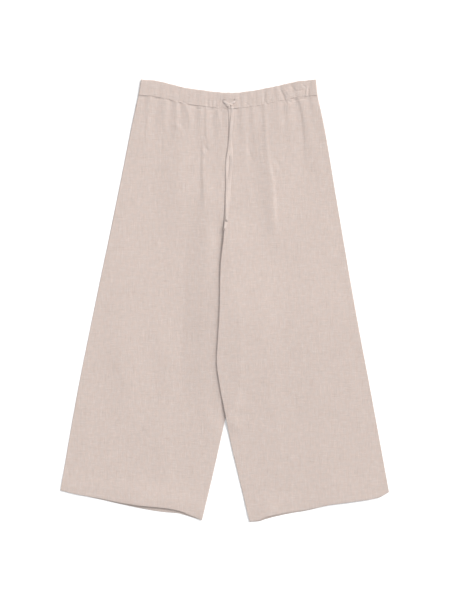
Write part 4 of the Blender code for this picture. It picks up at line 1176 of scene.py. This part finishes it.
def add_floor():
    """A plain pale floor under the garment."""
    mesh = bpy.data.meshes.new("floor")
    half = FLOOR_SIZE / 2
    corners = [(-half, -half), (half, -half), (half, half), (-half, half)]
    mesh.from_pydata([(x, y, FLOOR_Z * MM) for x, y in corners], [], [(0, 1, 2, 3)])
    nodes = Nodes("floor_white")
    nodes.shader.inputs["Base Color"].default_value = FLOOR_WHITE
    nodes.shader.inputs["Roughness"].default_value = FLOOR_ROUGHNESS
    nodes.shader.inputs["Specular IOR Level"].default_value = 0.0
    mesh.materials.append(nodes.material)
    floor = add_object("floor", mesh)


def add_sun(name, direction, strength, softness, colour):
    """A soft distant light. Its direction is (degrees from +X, degrees above the floor)."""
    azimuth, elevation = direction
    lamp = bpy.data.lights.new(name, "SUN")
    lamp.energy = strength
    lamp.angle = np.radians(softness)
    lamp.color = colour
    sun = add_object(name, lamp)
    sun.rotation_euler = (0.0, np.radians(90.0 - elevation), np.radians(azimuth))


def add_soft_box():
    """A wide soft box that faces straight down."""
    lamp = bpy.data.lights.new("soft box", "AREA")
    lamp.shape = "SQUARE"
    lamp.size = SOFT_BOX_SIZE * MM
    lamp.energy = SOFT_BOX_POWER
    box = add_object("soft box", lamp)
    box.location = [value * MM for value in SOFT_BOX_PLACE]
    box.visible_camera = False


def add_lights():
    world = bpy.data.worlds.new("studio")
    world.use_nodes = True
    surround = world.node_tree.nodes["Background"].inputs
    surround["Color"].default_value = AMBIENT_COLOUR
    surround["Strength"].default_value = AMBIENT
    bpy.context.scene.world = world
    for sun in SUNS:
        add_sun(*sun)
    add_soft_box()


def add_camera():
    """Straight down on the garment, so far off that it hardly foreshortens."""
    lens = bpy.data.cameras.new("camera")
    lens.sensor_width = CAMERA_SENSOR
    lens.lens = CAMERA_SENSOR * CAMERA_HEIGHT / PICTURE_HEIGHT
    lens.clip_end = 2 * CAMERA_HEIGHT * MM
    camera = add_object("camera", lens)
    camera.location = [value * MM for value in (*PICTURE_CENTRE, CAMERA_HEIGHT)]
    bpy.context.scene.camera = camera
    bpy.context.scene.view_settings.view_transform = "Standard"


# --- The garment ---------------------------------------------------------------------------------


def add_leg_panels(linen):
    """The two backs, and the two fronts on them. A hem's turn-up lies over a back, under a front."""
    left, right = (SIDE_LEFT, INNER_LEFT), (INNER_RIGHT, SIDE_RIGHT)
    over, under = 1.0, -1.0
    panels = {
        "back_left": Panel(*left, HEM_LEFT_BACK, left_back_height, over),
        "back_right": Panel(*right, HEM_RIGHT_BACK, right_back_height, over),
        "front_left": Panel(*left, HEM_LEFT_FRONT, left_front_height, under),
        "front_right": Panel(*right, HEM_RIGHT_FRONT, right_front_height, under),
    }
    for name, panel in panels.items():
        half, side = name.split("_")
        piece = add_panel(f"{name}_linen", f"{half}_leg_{side}", panel, MESH_SIZES[half], linen)


def add_waistband(linen, thread):
    def front_low(x, y, end):
        return np.full_like(x, BAND_LOW)

    def front_high(x, y, end):
        return mix(BAND_LOW + LAYER, band_face(x, y), end)

    def back_low(x, y, end):
        return mix(BACK_BAND_HIGH / 2, puckers(BACK_PUCKERS, x, y), end)

    def back_high(x, y, end):
        return np.full_like(x, BACK_BAND_HIGH)

    back_faces, front_faces = (back_low, back_high), (front_low, front_high)
    back_furrows = (BACK_PUCKERS, BACK_SCALLOP_SEED)
    front_furrows = (PUCKERS, FRONT_SCALLOP_SEED)
    back = add_band("band_back_linen", "waistband_back", *back_faces, *back_furrows, linen)
    front = add_band("band_front_linen", "waistband_front", *front_faces, *front_furrows, linen)
    holes = [add_buttonhole(side, centre, thread) for side, centre in BUTTONHOLES.items()]
    stitches = add_stitches("band_stitches", thread)


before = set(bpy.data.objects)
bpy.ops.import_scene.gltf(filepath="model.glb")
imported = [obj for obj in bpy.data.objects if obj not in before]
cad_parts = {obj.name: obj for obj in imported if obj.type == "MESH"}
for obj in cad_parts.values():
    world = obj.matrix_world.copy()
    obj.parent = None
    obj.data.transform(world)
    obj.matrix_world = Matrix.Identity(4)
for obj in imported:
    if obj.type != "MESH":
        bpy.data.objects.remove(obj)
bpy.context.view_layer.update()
add_camera()
add_lights()
add_floor()
linen = linen_material("linen", *LINEN_TONES, SLUB_DEPTH)
drawstring = linen_material("drawstring", *TIE_TONES, TIE_SLUB_DEPTH)
thread = thread_material("thread", LINEN_TONES[2])
for tie_name in TIE_ROUTES:
    add_tie(tie_name, drawstring)
add_knot(drawstring)
add_leg_panels(linen)
add_waistband(linen, thread)
